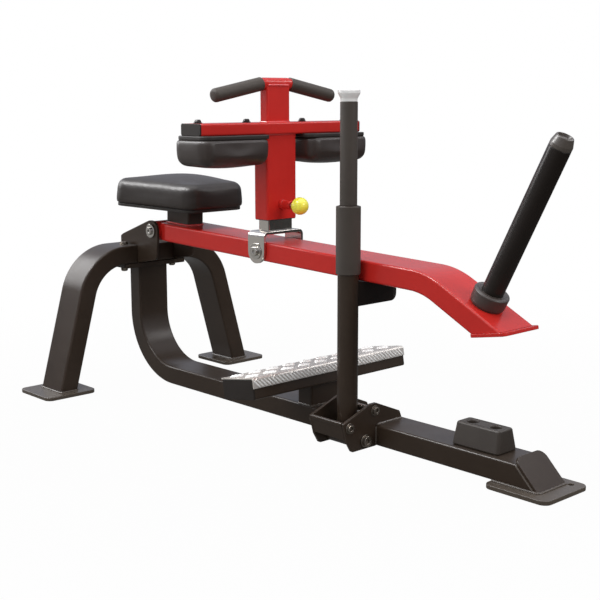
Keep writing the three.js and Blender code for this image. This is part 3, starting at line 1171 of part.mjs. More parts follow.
function leverCap() {
  const hollow = LEVER_CORE_RADIUS + GAP;
  const base = over(leverGripTop) + GAP;
  const top = base + LEVER_CAP_HEIGHT;
  const inside = over(leverTop) + GAP;
  const cap = turned([[hollow, base], [LEVER_CAP_NECK + LEVER_CAP_LIP, base],
    [LEVER_CAP_NECK, base + LEVER_CAP_LIP],
    [LEVER_CAP_NECK, top - 3 * LEVER_CAP_LIP], [LEVER_CAP_RADIUS, top - 2 * LEVER_CAP_LIP],
    [LEVER_CAP_RADIUS, top - LEVER_CAP_LIP / 2], [LEVER_CAP_RADIUS - LEVER_CAP_LIP / 2, top],
    [LEVER_CAP_BORE, top], [LEVER_CAP_BORE - LEVER_CAP_LIP, top - LEVER_CAP_BORE_DEPTH],
    [0, top - LEVER_CAP_BORE_DEPTH], [0, inside], [hollow, inside],
    [hollow, base]], ALONG_Z);
  return piece("lever_cap", cap, CHROME);
}

// The catch's top is an arc about the lever's pivot, so that it swings clear under the arm's load.
function catchSolid() {
  const frontEdge = leverAhead + CATCH_LENGTH / 2;
  const armUnder = pivotHeight - (frontEdge - PIVOT_AHEAD) * Math.tan(armFall) - armTop / Math.cos(armFall);
  const aside = LEVER_ASIDE - armSide;
  const radius = Math.hypot(over(armUnder) - GAP, aside);
  const reach = LEVER_ASIDE + CATCH_REACH;
  const arc = Array.from({ length: CATCH_ARC_STEPS + 1 }, (_, step) => {
    const across = reach * (1 - step / CATCH_ARC_STEPS);
    return [across, Math.sqrt(radius ** 2 - across ** 2), 0];
  });
  const bottom = over(pivotHeight - CATCH_DEPTH);
  return slab(outline([[0, bottom, 0], [reach, bottom, CATCH_CORNER], ...arc]),
    -CATCH_LENGTH / 2, CATCH_LENGTH / 2, ALONG_X);
}

function catchPieces() {
  const split = LEVER_ASIDE + CATCH_REACH - CATCH_CAP_LENGTH;
  const [low, high] = [-OVERRUN, over(leverTop)];
  const across = [-CATCH_LENGTH, CATCH_LENGTH];
  const beyond = block(across, [split - GAP, split + LEVER_ASIDE], [low, high]);
  const before = block(across, [-LEVER_ASIDE, split], [low, high]);
  const post = bore(LEVER_RADIUS + GAP, low, high, ALONG_Z, ROUND_STEPS);
  const hidden = block(across, [-LEVER_ASIDE, 0], [low, high]);
  return [piece("catch_bar", cut(catchSolid(), beyond, post, hidden), BLACK_STEEL),
    piece("catch_cap", cut(catchSolid(), before), BLACK_PLASTIC)];
}

function leverBody() {
  return group([leverTube(), guardSleeve(), leverGrip(), leverCap(), ...catchPieces()],
    { x: leverAhead, y: -LEVER_ASIDE, z: LEVER_PIVOT_HEIGHT });
}

const machine = group([frameBody(), armBody(), leverBody()],
  { x: -(frontReach - REAR_FOOT_LENGTH / 2) / 2 });

export default machine;
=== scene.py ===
"""A seated calf raise machine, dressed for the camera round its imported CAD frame.

Each sub-assembly is a class that holds its sizes in millimetres, builds its surfaces as numpy
arrays and dresses them. Outlines and profiles are rows of (x, y) or of (x, y, corner radius).
The drawings lie in the machine's own axes: +X from the rear arch to the front foot, +Y to the
user's left, +Z up, from the centre line of the rear feet at floor level.
"""

from __future__ import annotations

import json
import logging
import math
import sys
from collections.abc import Mapping, Sequence
from dataclasses import dataclass, field
from enum import Enum

import bmesh
import bpy
import numpy as np
from mathutils import Matrix, Vector
from mathutils.geometry import tessellate_polygon

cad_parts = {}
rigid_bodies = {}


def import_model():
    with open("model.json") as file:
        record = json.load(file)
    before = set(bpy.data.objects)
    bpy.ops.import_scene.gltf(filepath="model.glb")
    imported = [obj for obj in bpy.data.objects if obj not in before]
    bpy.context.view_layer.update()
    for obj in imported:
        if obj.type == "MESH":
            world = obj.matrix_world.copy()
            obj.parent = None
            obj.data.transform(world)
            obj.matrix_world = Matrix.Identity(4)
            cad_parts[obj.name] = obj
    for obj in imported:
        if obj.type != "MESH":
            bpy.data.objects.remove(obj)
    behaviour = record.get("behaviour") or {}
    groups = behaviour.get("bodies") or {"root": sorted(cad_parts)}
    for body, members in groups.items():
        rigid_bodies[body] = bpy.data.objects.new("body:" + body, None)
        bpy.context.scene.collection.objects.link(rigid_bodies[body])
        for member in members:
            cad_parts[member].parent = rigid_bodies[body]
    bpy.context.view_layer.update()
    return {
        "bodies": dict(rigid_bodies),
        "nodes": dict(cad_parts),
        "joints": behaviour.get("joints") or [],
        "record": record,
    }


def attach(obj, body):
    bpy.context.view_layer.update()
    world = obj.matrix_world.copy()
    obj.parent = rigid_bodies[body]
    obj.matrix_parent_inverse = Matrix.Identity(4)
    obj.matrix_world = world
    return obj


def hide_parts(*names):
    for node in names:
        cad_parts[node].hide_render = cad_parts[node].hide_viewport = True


LOG = logging.getLogger("calf_raise")
MM = 0.001
ORIGIN_AHEAD = 718.0  # the machine's origin ahead of the centre line of the rear feet
GAP = 0.3  # between solids that touch in the real machine
RIM = 0.7  # how far the rims of cut tubes are drawn in
RIPPLE = 5  # from one ripple of a weld bead to the next
SAME_POINT = 2e-6  # metres within which two points are one
SIDES = (("left", 1), ("right", -1))
Array = np.ndarray
Corner = tuple[float, ...]
Sockets = Mapping[str, bpy.types.NodeSocket]


# ---- places ----


def at(x: float = 0, y: float = 0, z: float = 0, fall: float = 0, lean: float = 0) -> Array:
    """A place as a 4 by 4 matrix: a turn about Y, then one about X, then a move.

    Args:
        x: Move ahead.
        y: Move to the left.
        z: Move up.
        fall: Degrees that what points ahead falls.
        lean: Degrees that what points up leans to the right.

    Returns:
        The matrix from the place's own axes to those round it.
    """
    a, b = math.radians(fall), math.radians(lean)
    turn_y = np.array([[math.cos(a), 0, math.sin(a)], [0, 1, 0], [-math.sin(a), 0, math.cos(a)]])
    turn_x = np.array([[1, 0, 0], [0, math.cos(b), -math.sin(b)], [0, math.sin(b), math.cos(b)]])
    made = np.eye(4)
    made[:3, :3] = turn_x @ turn_y
    made[:3, 3] = x, y, z
    return made


class Drawn(Enum):
    """How a drawing's x, y and depth stand in space."""

    ALONG_X = ((0, 0, 1), (1, 0, 0), (0, 1, 0))
    ALONG_Y = ((1, 0, 0), (0, 0, -1), (0, 1, 0))
    ALONG_Z = ((1, 0, 0), (0, 1, 0), (0, 0, 1))

    @property
    def place(self) -> Array:
        """The drawing's axes as a 4 by 4 matrix."""
        made = np.eye(4)
        made[:3, :3] = self.value
        return made


# ---- surfaces ----


@dataclass
class Shape:
    """Points of a surface in millimetres, and its faces as arrays of point numbers."""

    points: Array
    faces: list[Array]

    def to(self, *places: Array) -> Shape:
        """The shape carried to a place, or through several from the innermost outwards."""
        points = self.points
        for place in places:
            points = points @ place[:3, :3].T + place[:3, 3]
        return Shape(points, self.faces)

    def mirrored(self, signs: Corner = (1, -1, 1)) -> Shape:
        """The shape on the machine's other side, or turned over along the axes with a sign of -1."""
        return Shape(self.points * signs, self.faces)

    def sides(self) -> Shape:
        """The shape and its twin on the other side."""
        return joined(self, self.mirrored())

    def raised(self, height: float, way: Corner = (0, 0, 1)) -> Shape:
        """The shape with what lies below a height slid along a way up to it."""
        short = np.maximum(height - self.points[:, 2:], 0)
        return Shape(self.points + short / way[2] * np.array(way), self.faces)


def joined(*shapes: Shape) -> Shape:
    """Several shapes as one, each face's numbers moved on past the points before it."""
    starts = np.cumsum([0] + [len(s.points) for s in shapes])
    faces = [face + start for s, start in zip(shapes, starts) for face in s.faces]
    return Shape(np.concatenate([s.points for s in shapes]), faces)


def grid(rows: Array, wrap: bool = False) -> Shape:
    """The surface over a row of closed rings: each quad joins two neighbours on two rings.

    Args:
        rows: Points as (ring, place on the ring, 3).
        wrap: Whether the last ring joins the first. Otherwise both ends get a flat cap.

    Returns:
        A closed shape.
    """
    rings, around = rows.shape[:2]
    last = rings if wrap else rings - 1
    ring, place = np.meshgrid(np.arange(last), np.arange(around), indexing="ij")
    here, onward = ring * around, ((ring + 1) % rings) * around
    beside = (place + 1) % around
    quads = np.stack([here + place, here + beside, onward + beside, onward + place], -1).reshape(-1, 4)
    faces = [quads]
    if not wrap:
        cap = np.arange(around)[None]
        faces += [cap, cap + (rings - 1) * around]
    return Shape(rows.reshape(-1, 3), faces)


def rounded(corners: Sequence[Corner], radius: float = 0, steps: int = 6) -> Array:
    """A closed outline through corners, each rounded by an arc that touches both its sides.

    Args:
        corners: Each (x, y) or (x, y, own radius).
        radius: The radius of corners that have none of their own.
        steps: Steps in each arc.

    Returns:
        The outline's points as (count, 2).
    """
    runs = []
    for index, corner in enumerate(corners):
        here = np.array(corner[:2], float)
        own = corner[2] if len(corner) > 2 else radius
        if own <= 0:
            runs.append(here[None])
            continue
        back = np.array(corners[index - 1][:2]) - here
        on = np.array(corners[(index + 1) % len(corners)][:2]) - here
        back, on = back / np.linalg.norm(back), on / np.linalg.norm(on)
        half = math.acos(float(np.clip(back @ on, -1, 1))) / 2
        middle = (back + on) / np.linalg.norm(back + on) * own / math.sin(half)
        spoke = back * own / math.tan(half) - middle
        turn = -np.sign(back[0] * on[1] - back[1] * on[0]) * (math.pi - 2 * half)
        angle = turn * np.linspace(0, 1, steps + 1)[:, None]
        across = np.array([-spoke[1], spoke[0]])
        runs.append(here + middle + spoke * np.cos(angle) + across * np.sin(angle))
    return np.concatenate(runs)


def rectangle(width: float, height: float, radius: float = 0, steps: int = 6) -> Array:
    """A rectangle about the drawing's origin with rounded corners."""
    x, y = width / 2, height / 2
    return rounded([(-x, -y), (x, -y), (x, y), (-x, y)], radius, steps)


def ring(radius: float, x: float = 0, y: float = 0, steps: int = 32) -> Array:
    """A circle, or with few steps a regular polygon, about a point."""
    angle = 2 * math.pi * np.arange(steps) / steps
    return np.stack([x + radius * np.cos(angle), y + radius * np.sin(angle)], 1)


def inset(loop: Array, distance: float) -> Array:
    """The outline moved inwards: each point goes along the mitre of its two sides' normals."""
    ahead = np.roll(loop, -1, 0) - loop
    ahead /= np.linalg.norm(ahead, axis=1, keepdims=True)
    normal = np.stack([-ahead[:, 1], ahead[:, 0]], 1)
    before = np.roll(normal, 1, 0)
    mitre = (normal + before) / (1 + (normal * before).sum(1, keepdims=True))
    x, y = loop.T
    area = (x * np.roll(y, -1) - y * np.roll(x, -1)).sum()
    return loop + mitre * distance * np.sign(area)


def divided(loop: Array, longest: float) -> Array:
    """The outline with each side cut into equal pieces no longer than a length."""
    way = np.roll(loop, -1, 0) - loop
    counts = np.ceil(np.linalg.norm(way, axis=1) / longest).astype(int)
    step = np.arange(counts.sum()) - np.repeat(np.cumsum(counts) - counts, counts)
    return np.repeat(loop, counts, 0) + np.repeat(way / counts[:, None], counts, 0) * step[:, None]


def lifted(loop: Array, height: float) -> Array:
    """An outline as a ring of points at a height."""
    return np.column_stack([loop, np.full(len(loop), float(height))])


def plate(loop: Array, low: float, high: float, edge: float = 1, holes: Sequence[Array] = ()) -> Shape:
    """A plate whose edges are quarter circles: ring by ring the outline draws in by
    edge (1 - sin t) at a height of edge (1 - cos t) from each face.

    Args:
        loop: The outline.
        low: The lower face's height.
        high: The upper face's height.
        edge: The edges' radius.
        holes: Outlines of holes right through.

    Returns:
        A closed shape.
    """
    turn = np.linspace(0, math.pi / 2, 4)
    draws = edge * (1 - np.sin(turn))
    heights = edge * (1 - np.cos(turn))
    levels = [*zip(draws, low + heights), *zip(draws[::-1], high - heights[::-1])]
    walls = []
    for index, path in enumerate((loop, *holes)):
        sign = 1 if index == 0 else -1
        rows = np.stack([lifted(inset(path, sign * draw), height) for draw, height in levels])
        walls.append(grid(rows))
    if not holes:
        return walls[0]
    for wall in walls:
        wall.faces = wall.faces[:1]
    made = joined(*walls)
    starts = np.cumsum([0] + [len(w.points) for w in walls])
    for level in (0, len(levels) - 1):
        numbers = [np.arange(len(p)) + s + level * len(p) for p, s in zip((loop, *holes), starts)]
        rings = [[Vector(point) for point in made.points[n]] for n in numbers]
        made.faces.append(np.concatenate(numbers)[np.array(tessellate_polygon(rings))])
    return made


def turned(profile: Array | Sequence[Corner], radius: float = 0, steps: int = 64) -> Shape:
    """A closed profile of (radius, height) carried round the Z axis: (r cos t, r sin t, h)."""
    loop = rounded(list(map(tuple, profile)), radius, 4)
    angle = 2 * math.pi * np.arange(steps)[:, None] / steps
    away, height = loop.T
    spun = (away * np.cos(angle), away * np.sin(angle), np.broadcast_to(height, (steps, len(loop))))
    return grid(np.stack(spun, -1), wrap=True)


def offset(profile: Sequence[Corner], radius: float, height: float) -> list[Corner]:
    """A profile given from a bar's skin and end, as seen from the bar's middle and foot."""
    return [(radius + out, height + up, *turn) for out, up, *turn in profile]


def disc(radius: float, low: float, high: float, edge: float = 0.6) -> Shape:
    """A round bar along Z with rounded rims."""
    return turned([(0, low, 0), (radius, low, edge), (radius, high, edge), (0, high, 0)])


def bent_run(corners: Sequence[Corner], bend: float, step: float = 3) -> tuple[Array, Array]:
    """Stations along straight stretches joined by arcs.

    Args:
        corners: The run's corners in the drawing.
        bend: The arcs' radius.
        step: Most degrees from one station to the next.

    Returns:
        The stations' points and their directions to the left, each as (count, 2).
    """
    corners = np.array(corners, float)
    ways = np.diff(corners, axis=0)
    ways /= np.linalg.norm(ways, axis=1, keepdims=True)
    lefts = np.stack([-ways[:, 1], ways[:, 0]], 1)
    points, across = [corners[:1]], [lefts[:1]]
    for index in range(1, len(ways)):
        before, after = ways[index - 1], ways[index]
        turn = math.atan2(before[0] * after[1] - before[1] * after[0], before @ after)
        side = math.copysign(bend, turn)
        start = corners[index] - before * bend * math.tan(abs(turn) / 2)
        angle = turn * np.linspace(0, 1, math.ceil(abs(math.degrees(turn)) / step) + 1)[:, None]
        swung = lefts[index - 1] * np.cos(angle) - before * np.sin(angle)
        points.append(start + lefts[index - 1] * side - swung * side)
        across.append(swung)
    return np.concatenate([*points, corners[-1:]]), np.concatenate([*across, lefts[-1:]])


def swept(section: Array, points: Array, lefts: Array) -> Array:
    """A section carried along stations: its x goes to the left of the run, its y to the depth."""
    flat = points[:, None] + lefts[:, None] * section[None, :, :1]
    return np.concatenate([flat, np.broadcast_to(section[None, :, 1:], (*flat.shape[:2], 1))], -1)


@dataclass(frozen=True)
class Cut:
    """A straight cut across a drawing, through a point, with the direction along the cut."""

    x: float
    y: float
    degrees: float

    def across(self, rows: Array, way: Array) -> Array:
        """Rows slid along a way until each point meets the cut: t = ((c - p) . n) / (w . n)."""
        a = math.radians(self.degrees)
        normal = np.array([-math.sin(a), math.cos(a)])
        slide = ((np.array([self.x, self.y]) - rows[..., :2]) @ normal) / (way @ normal)
        moved = rows.copy()
        moved[..., :2] += slide[..., None] * way
        return moved


@dataclass(frozen=True)
class BoxTube:
    """A box tube's section: depth in the drawing, width across it, wall and outside corner."""

    depth: float
    width: float
    wall: float = 3
    corner: float = 6

    def along(self, corners: Sequence[Corner], bend: float = 0, start: Cut | None = None,
              end: Cut | None = None) -> Shape:
        """The tube along a run, with its real wall: the outer rings go out and the inner ones
        come back, so that the whole is one closed band, and its ends may be cut at an angle.

        Args:
            corners: The run's corners in the drawing.
            bend: The bends' radius.
            start: The cut at the run's start, or none for a square end.
            end: The cut at its end.

        Returns:
            A closed shape in the drawing's axes.
        """
        points, lefts = bent_run(corners, bend)
        first = (points[1] - points[0]) / np.linalg.norm(points[1] - points[0])
        last = (points[-1] - points[-2]) / np.linalg.norm(points[-1] - points[-2])
        points = np.concatenate([points[:1], points[:1] + first * RIM, points[1:-1],
                                 points[-1:] - last * RIM, points[-1:]])
        lefts = np.concatenate([lefts[:1], lefts, lefts[-1:]])
        outside = rectangle(self.depth, self.width, self.corner)
        inside = rectangle(self.depth - 2 * self.wall, self.width - 2 * self.wall,
                           max(self.corner - self.wall, 1))
        skins = []
        for loop, draw in ((outside, RIM), (inside, -RIM)):
            rows = swept(loop, points, lefts)
            rows[0], rows[-1] = swept(inset(loop, draw), points[[0, -1]], lefts[[0, -1]])
            if start:
                rows[:2] = start.across(rows[:2], first)
                rows[1, :, :2] += first * RIM
            if end:
                rows[-2:] = end.across(rows[-2:], last)
                rows[-2, :, :2] -= last * RIM
            skins.append(rows)
        return grid(np.concatenate([skins[0], skins[1][::-1]]), wrap=True)

    def cap(self, end: float, thick: float, plug: Corner) -> Shape:
        """A cover over the end of a straight run, with a plug inside it.

        Args:
            end: The cover's outside.
            thick: The cover's thickness.
            plug: The plug's length, its overlap with the cover and its corners' radius.

        Returns:
            The cap in the axes of a tube that runs along Y.
        """
        length, overlap, turn = plug
        room = 2 * self.wall + 1
        cover = plate(rectangle(self.depth, self.width, self.corner), end - thick, end, 1.4)
        inner = rectangle(self.depth - room, self.width - room, turn)
        body = plate(inner, end - length, end - thick + overlap, 0.4)
        return joined(cover, body).to(Drawn.ALONG_Y.place)

    def root(self, ahead: float, height: float, radius: float, wider: Corner = (1, 1),
             corner: float = 7) -> Shape:
        """The bead round an upright run where it meets a face.

        Args:
            ahead: The run's middle.
            height: The face's height.
            radius: The bead's radius.
            wider: How much more the bead's path measures than the section, each way.
            corner: The radius of the path's corners.

        Returns:
            A closed bead.
        """
        loop = rectangle(self.depth + wider[0], self.width + wider[1], corner, 4) + (ahead, 0)
        return bead(lifted(loop, height), radius)


def bead(path: Array, radius: float, closed: bool = True) -> Shape:
    """A weld bead: a half-sunk round section carried along a path in space, whose radius ripples
    as 1 + 0.1 sin(2 pi s / RIPPLE) with the distance s along it.

    Args:
        path: The path's corners as (count, 3).
        radius: The section's radius.
        closed: Whether the path comes back to its start.

    Returns:
        A closed shape.
    """
    loop = np.concatenate([path, path[:1]]) if closed else path
    lengths = np.concatenate([[0], np.cumsum(np.linalg.norm(np.diff(loop, axis=0), axis=1))])
    count = max(int(lengths[-1] / RIPPLE) * 4, 8)
    along = np.linspace(0, lengths[-1], count, endpoint=not closed)
    points = np.stack([np.interp(along, lengths, loop[:, axis]) for axis in range(3)], 1)
    before, after = np.roll(points, 1, 0), np.roll(points, -1, 0)
    if not closed:
        before[0], after[-1] = points[0], points[-1]
    way = after - before
    way /= np.linalg.norm(way, axis=1, keepdims=True)
    side = np.cross(way, (0.31, 0.17, 0.93))  # a guide that no weld of the machine runs along
    side /= np.linalg.norm(side, axis=1, keepdims=True)
    up = np.cross(side, way)
    swell = radius * (1 + 0.1 * np.sin(2 * math.pi * along / RIPPLE))[:, None, None]
    if not closed:
        fade = np.minimum(along, lengths[-1] - along) / (1.5 * radius)
        swell *= np.sqrt(np.clip(fade, 0.02, 1))[:, None, None]
    angle = 2 * math.pi * np.arange(8)[None, :, None] / 8
    rows = points[:, None] + swell * (np.cos(angle) * side[:, None] + np.sin(angle) * up[:, None])
    return grid(rows, wrap=closed)


def open_bead(radius: float, *path: Corner) -> Shape:
    """A weld bead along a path that ends."""
    return bead(np.array(path), radius, closed=False)


def hexagon(flats: float, low: float, high: float) -> Shape:
    """A hexagon head or nut with softened edges."""
    return plate(rounded(list(map(tuple, ring(flats / math.sqrt(3), steps=6))), 0.8, 2), low, high, 1)


def socket_screw(radius: float, low: float, high: float, socket: float, depth: float) -> Shape:
    """A round screw head with a hexagon socket in its top."""
    head = plate(ring(radius), high - depth, high, 0.9, [ring(socket, steps=6)])
    return joined(disc(radius, low, high - depth, 0.2), head)


@dataclass(frozen=True)
class SocketBolt:
    """A bolt with a washer and a socket head: its radii, and its heights over the washer's face."""

    shank: float
    washer: float
    washer_top: float
    head: float
    head_top: float
    socket: float
    socket_depth: float
    rim: float = 0.6

    def headed(self, face: float) -> Shape:
        """The washer and the head over a face."""
        low, high = face + self.washer_top, face + self.head_top
        return joined(disc(self.washer, face + GAP, low, self.rim),
                      socket_screw(self.head, low, high, self.socket, self.socket_depth))

    def through(self, face: float) -> Shape:
        """The whole bolt, headed at both ends, through faces at as much to each side."""
        head = self.headed(face)
        return joined(disc(self.shank, -face - 1, face + 1), head, head.mirrored((1, 1, -1)))


# ---- finishes ----


def light(colour: Corner) -> tuple[float, float, float, float]:
    """A colour out of 255 as linear light: ((c + 0.055) / 1.055) ** 2.4."""
    levels = ((np.array(colour[:3], float) / 255 + 0.055) / 1.055) ** 2.4
    return (*map(float, levels), 1.0)


@dataclass
class Wiring:
    """Adds and joins the nodes of a material, a world or a node group."""

    tree: bpy.types.NodeTree

    def add(self, kind: str, inputs: dict | None = None, **settings: object) -> bpy.types.Node:
        """A new node.

        Args:
            kind: The node's type.
            inputs: Values for its sockets, or other nodes' outputs to join to them.
            settings: Values for its own settings.

        Returns:
            The node.
        """
        node = self.tree.nodes.new(kind)
        for name, value in settings.items():
            setattr(node, name, value)
        self.give(node, inputs or {})
        return node

    def give(self, node: bpy.types.Node, inputs: dict) -> None:
        """Joins outputs to a node's sockets, or writes plain values into them."""
        for name, value in inputs.items():
            if isinstance(value, bpy.types.NodeSocket):
                self.tree.links.new(value, node.inputs[name])
            else:
                node.inputs[name].default_value = value

    def place(self) -> bpy.types.NodeSocket:
        """The shaded point in its object's own axes."""
        return self.add("ShaderNodeTexCoord").outputs["Object"]

    def sum(self, operation: str, *terms: object) -> bpy.types.NodeSocket:
        """The outcome of a sum on numbers or sockets."""
        return self.add("ShaderNodeMath", dict(enumerate(terms)), operation=operation).outputs[0]

    def product(self, *terms: object) -> bpy.types.NodeSocket:
        """Two terms multiplied."""
        return self.sum("MULTIPLY", *terms)

    def mixture(self, first: object, share: float, second: object) -> bpy.types.NodeSocket:
        """Two values added up by shares that make one."""
        rest = round(1 - share, 6)
        return self.sum("MULTIPLY_ADD", first, share, self.product(second, rest))

    def span(self, value: object, low: float, high: float, to_low: object = 0.0,
             to_high: object = 1.0) -> bpy.types.NodeSocket:
        """A value carried from one range to another and held inside it."""
        inputs = {"Value": value, "From Min": low, "From Max": high, "To Min": to_low, "To Max": to_high}
        return self.add("ShaderNodeMapRange", inputs).outputs["Result"]

    def noise(self, scale: object, detail: float, where: object) -> bpy.types.NodeSocket:
        """Smooth noise from 0 to 1 over the given coordinates."""
        inputs = {"Vector": where, "Scale": scale, "Detail": detail, "Roughness": 0.55}
        return self.add("ShaderNodeTexNoise", inputs).outputs["Fac"]

    def blend(self, share: object, low: object, high: object) -> bpy.types.NodeSocket:
        """A colour between two others."""
        node = self.add("ShaderNodeMix", {0: share, 6: low, 7: high}, data_type="RGBA")
        return node.outputs[2]


def grain(wiring: Wiring, given: Sockets) -> Sockets:
    """Fine noise, as the skin of powder paint or of a moulding has."""
    where = wiring.place()
    fine = wiring.noise(given["Scale"], 2.0, where)
    coarse = wiring.noise(wiring.product(given["Scale"], 0.31), 1.0, where)
    return {"Height": wiring.mixture(fine, 0.6, coarse)}


def smudge(wiring: Wiring, given: Sockets) -> Sockets:
    """Broad and narrow noise together, as handling leaves on a surface."""
    where = wiring.place()
    broad = wiring.noise(given["Scale"], 3.0, where)
    narrow = wiring.noise(wiring.product(given["Scale"], 7.3), 2.0, where)
    mask = wiring.span(wiring.mixture(broad, 0.7, narrow), 0.36, 0.64)
    return {"Mask": mask, "Roughness": wiring.span(mask, 0.0, 1.0, given["Low"], given["High"])}


def worn_and_highlit_edges(wiring: Wiring, given: Sockets) -> Sockets:
    """Edges that stand out made lighter, broken up by noise: partly wear, partly a painted highlight
    along the edges.
    """
    sharp = wiring.span(wiring.add("ShaderNodeNewGeometry").outputs["Pointiness"], 0.53, 0.62)
    broken = wiring.span(wiring.noise(given["Scale"], 3.0, wiring.place()), 0.4, 0.66)
    return {"Mask": wiring.product(wiring.product(sharp, broken), given["Amount"])}


def dusty_and_lit_tops(wiring: Wiring, given: Sockets) -> Sockets:
    """Faces that point up made lighter, more in some places than in others: partly dust, partly painted
    light on the tops.
    """
    normal = wiring.add("ShaderNodeNewGeometry").outputs["Normal"]
    upward = wiring.span(wiring.add("ShaderNodeSeparateXYZ", {0: normal}).outputs["Z"], 0.55, 1.0)
    patchy = wiring.span(wiring.noise(given["Scale"], 4.0, wiring.place()), 0.3, 0.75, 0.7, 1.0)
    return {"Mask": wiring.product(wiring.product(upward, patchy), given["Amount"])}


def brushed(wiring: Wiring, given: Sockets) -> Sockets:
    """Noise drawn out along Y, as rolling and brushing leave on metal."""
    along = wiring.add("ShaderNodeCombineXYZ", {0: 1.0, 1: given["Stretch"], 2: 1.0}).outputs[0]
    drawn = wiring.add("ShaderNodeVectorMath", {0: wiring.place(), 1: along}, operation="MULTIPLY")
    return {"Height": wiring.noise(given["Scale"], 2.0, drawn.outputs[0])}


def pebbled(wiring: Wiring, given: Sockets) -> Sockets:
    """Cells with soft valleys between them, as vinyl and moulded rubber have."""
    where = wiring.place()
    inputs = {"Vector": where, "Scale": given["Scale"]}
    cells = wiring.add("ShaderNodeTexVoronoi", inputs, feature="SMOOTH_F1").outputs["Distance"]
    soft = wiring.noise(wiring.product(given["Scale"], 0.5), 2.0, where)
    return {"Height": wiring.mixture(wiring.span(cells, 0.1, 0.75, 1.0, 0.0), 0.75, soft)}


class Effect(Enum):
    """The effects that several finishes share: each one's title, its inputs and what builds it."""

    GRAIN = ("fine grain", {"Scale": 700.0}, grain)
    SMUDGE = ("smudges", {"Scale": 9.0, "Low": 0.2, "High": 0.4}, smudge)
    # Edge wear is partly a painted highlight along edges.
    WEAR_AND_HIGHLIGHT = ("edge wear", {"Amount": 0.3, "Scale": 120.0}, worn_and_highlit_edges)
    # Settled dust is partly painted light on the tops.
    TOP_DUST_AND_LIGHT = ("settled dust", {"Amount": 0.2, "Scale": 22.0}, dusty_and_lit_tops)
    BRUSHED = ("brushed lines", {"Scale": 500.0, "Stretch": 0.04}, brushed)
    PEBBLE = ("pebbled grain", {"Scale": 420.0}, pebbled)

    @property
    def group(self) -> bpy.types.NodeTree:
        """The effect's node group, built the first time it is asked for."""
        title, inputs, build = self.value
        made = bpy.data.node_groups.get(title)
        if made is not None:
            return made
        made = bpy.data.node_groups.new(title, "ShaderNodeTree")
        for name, value in inputs.items():
            socket = made.interface.new_socket(name, in_out="INPUT", socket_type="NodeSocketFloat")
            socket.default_value = value
        wiring = Wiring(made)
        results = build(wiring, wiring.add("NodeGroupInput").outputs)
        for name in results:
            made.interface.new_socket(name, in_out="OUTPUT", socket_type="NodeSocketFloat")
        wiring.add("NodeGroupOutput", results)
        return made

    def placed(self, wiring: Wiring, **values: float) -> Sockets:
        """The outputs of the effect's group, placed in a material with values of its own."""
        inputs = {name.capitalize(): value for name, value in values.items()}
        return wiring.add("ShaderNodeGroup", inputs, node_tree=self.group).outputs


@dataclass(frozen=True)
class Finish:
    """A finish. Its colours are out of 255, and its relief is in millimetres."""

    name: str
    slot: str
    colour: Corner
    smooth: float = 0.3
    dull: float = 0.45
    metallic: float = 0.0
    specular: float = 0.5
    coat: float = 0.0
    coat_roughness: float = 0.08
    mottle: float = 0.06
    relief: Effect = Effect.GRAIN
    relief_scale: float = 700.0
    relief_height: float = 0.02
    # wear lightens edges as real wear and as a painted highlight along them
    wear_and_highlight: float = 0.0
    wear_and_highlight_colour: Corner = (150, 145, 140)
    # dust lightens upward faces as real dust and as painted light on the tops
    top_dust_and_light: float = 0.0
    top_dust_and_light_colour: Corner = (150, 145, 138)

    def shade(self, wiring: Wiring, mask: bpy.types.NodeSocket) -> bpy.types.NodeSocket:
        """The colour, varying both ways about its own, under dust and painted top light and under edge
        wear and painted highlight.
        """
        base = np.array(light(self.colour)[:3])
        low, high = base * (1 - self.mottle), base * (1 + self.mottle)
        colour = wiring.blend(mask, (*low, 1), (*np.minimum(high, 1), 1))
        for effect, amount, over in ((Effect.TOP_DUST_AND_LIGHT, self.top_dust_and_light, self.top_dust_and_light_colour),
                                     (Effect.WEAR_AND_HIGHLIGHT, self.wear_and_highlight, self.wear_and_highlight_colour)):
            if amount:
                share = effect.placed(wiring, amount=amount)["Mask"]
                colour = wiring.blend(share, colour, light(over))
        return colour

    def material(self) -> bpy.types.Material:
        """The finish's material, built the first time it is asked for."""
        made = bpy.data.materials.get(self.name)
        if made is not None:
            return made
        made = bpy.data.materials.new(self.name)
        made.use_nodes = True
        made.diffuse_color = light(self.colour)
        wiring = Wiring(made.node_tree)
        smudges = Effect.SMUDGE.placed(wiring, low=self.smooth, high=self.dull)
        height = self.relief.placed(wiring, scale=self.relief_scale)["Height"]
        bump = wiring.add("ShaderNodeBump", {"Height": height, "Strength": 1.0,
                                             "Distance": self.relief_height * MM})
        wiring.give(made.node_tree.nodes["Principled BSDF"], {
            "Base Color": self.shade(wiring, smudges["Mask"]),
            "Roughness": smudges["Roughness"],
            "Normal": bump.outputs["Normal"],
            "Metallic": self.metallic,
            "Specular IOR Level": self.specular,
            "Coat Weight": self.coat,
            "Coat Roughness": self.coat_roughness,
        })
        return made


POWDER = Finish("charcoal_powder_paint", "frame_paint", (57, 46, 37), 0.28, 0.36, specular=0.28,
                relief_scale=800, relief_height=0.012, top_dust_and_light=0.05)
# Painted light: the feet get a lighter copy of the frame's powder paint, standing in for the light on
# their tops.
FOOT_POWDER_PAINTED_LIGHT = Finish("foot_powder_painted_light", "frame_paint", (84, 75, 66), 0.26, 0.34, specular=0.4,
                     relief_scale=800, relief_height=0.012, top_dust_and_light=0.08)
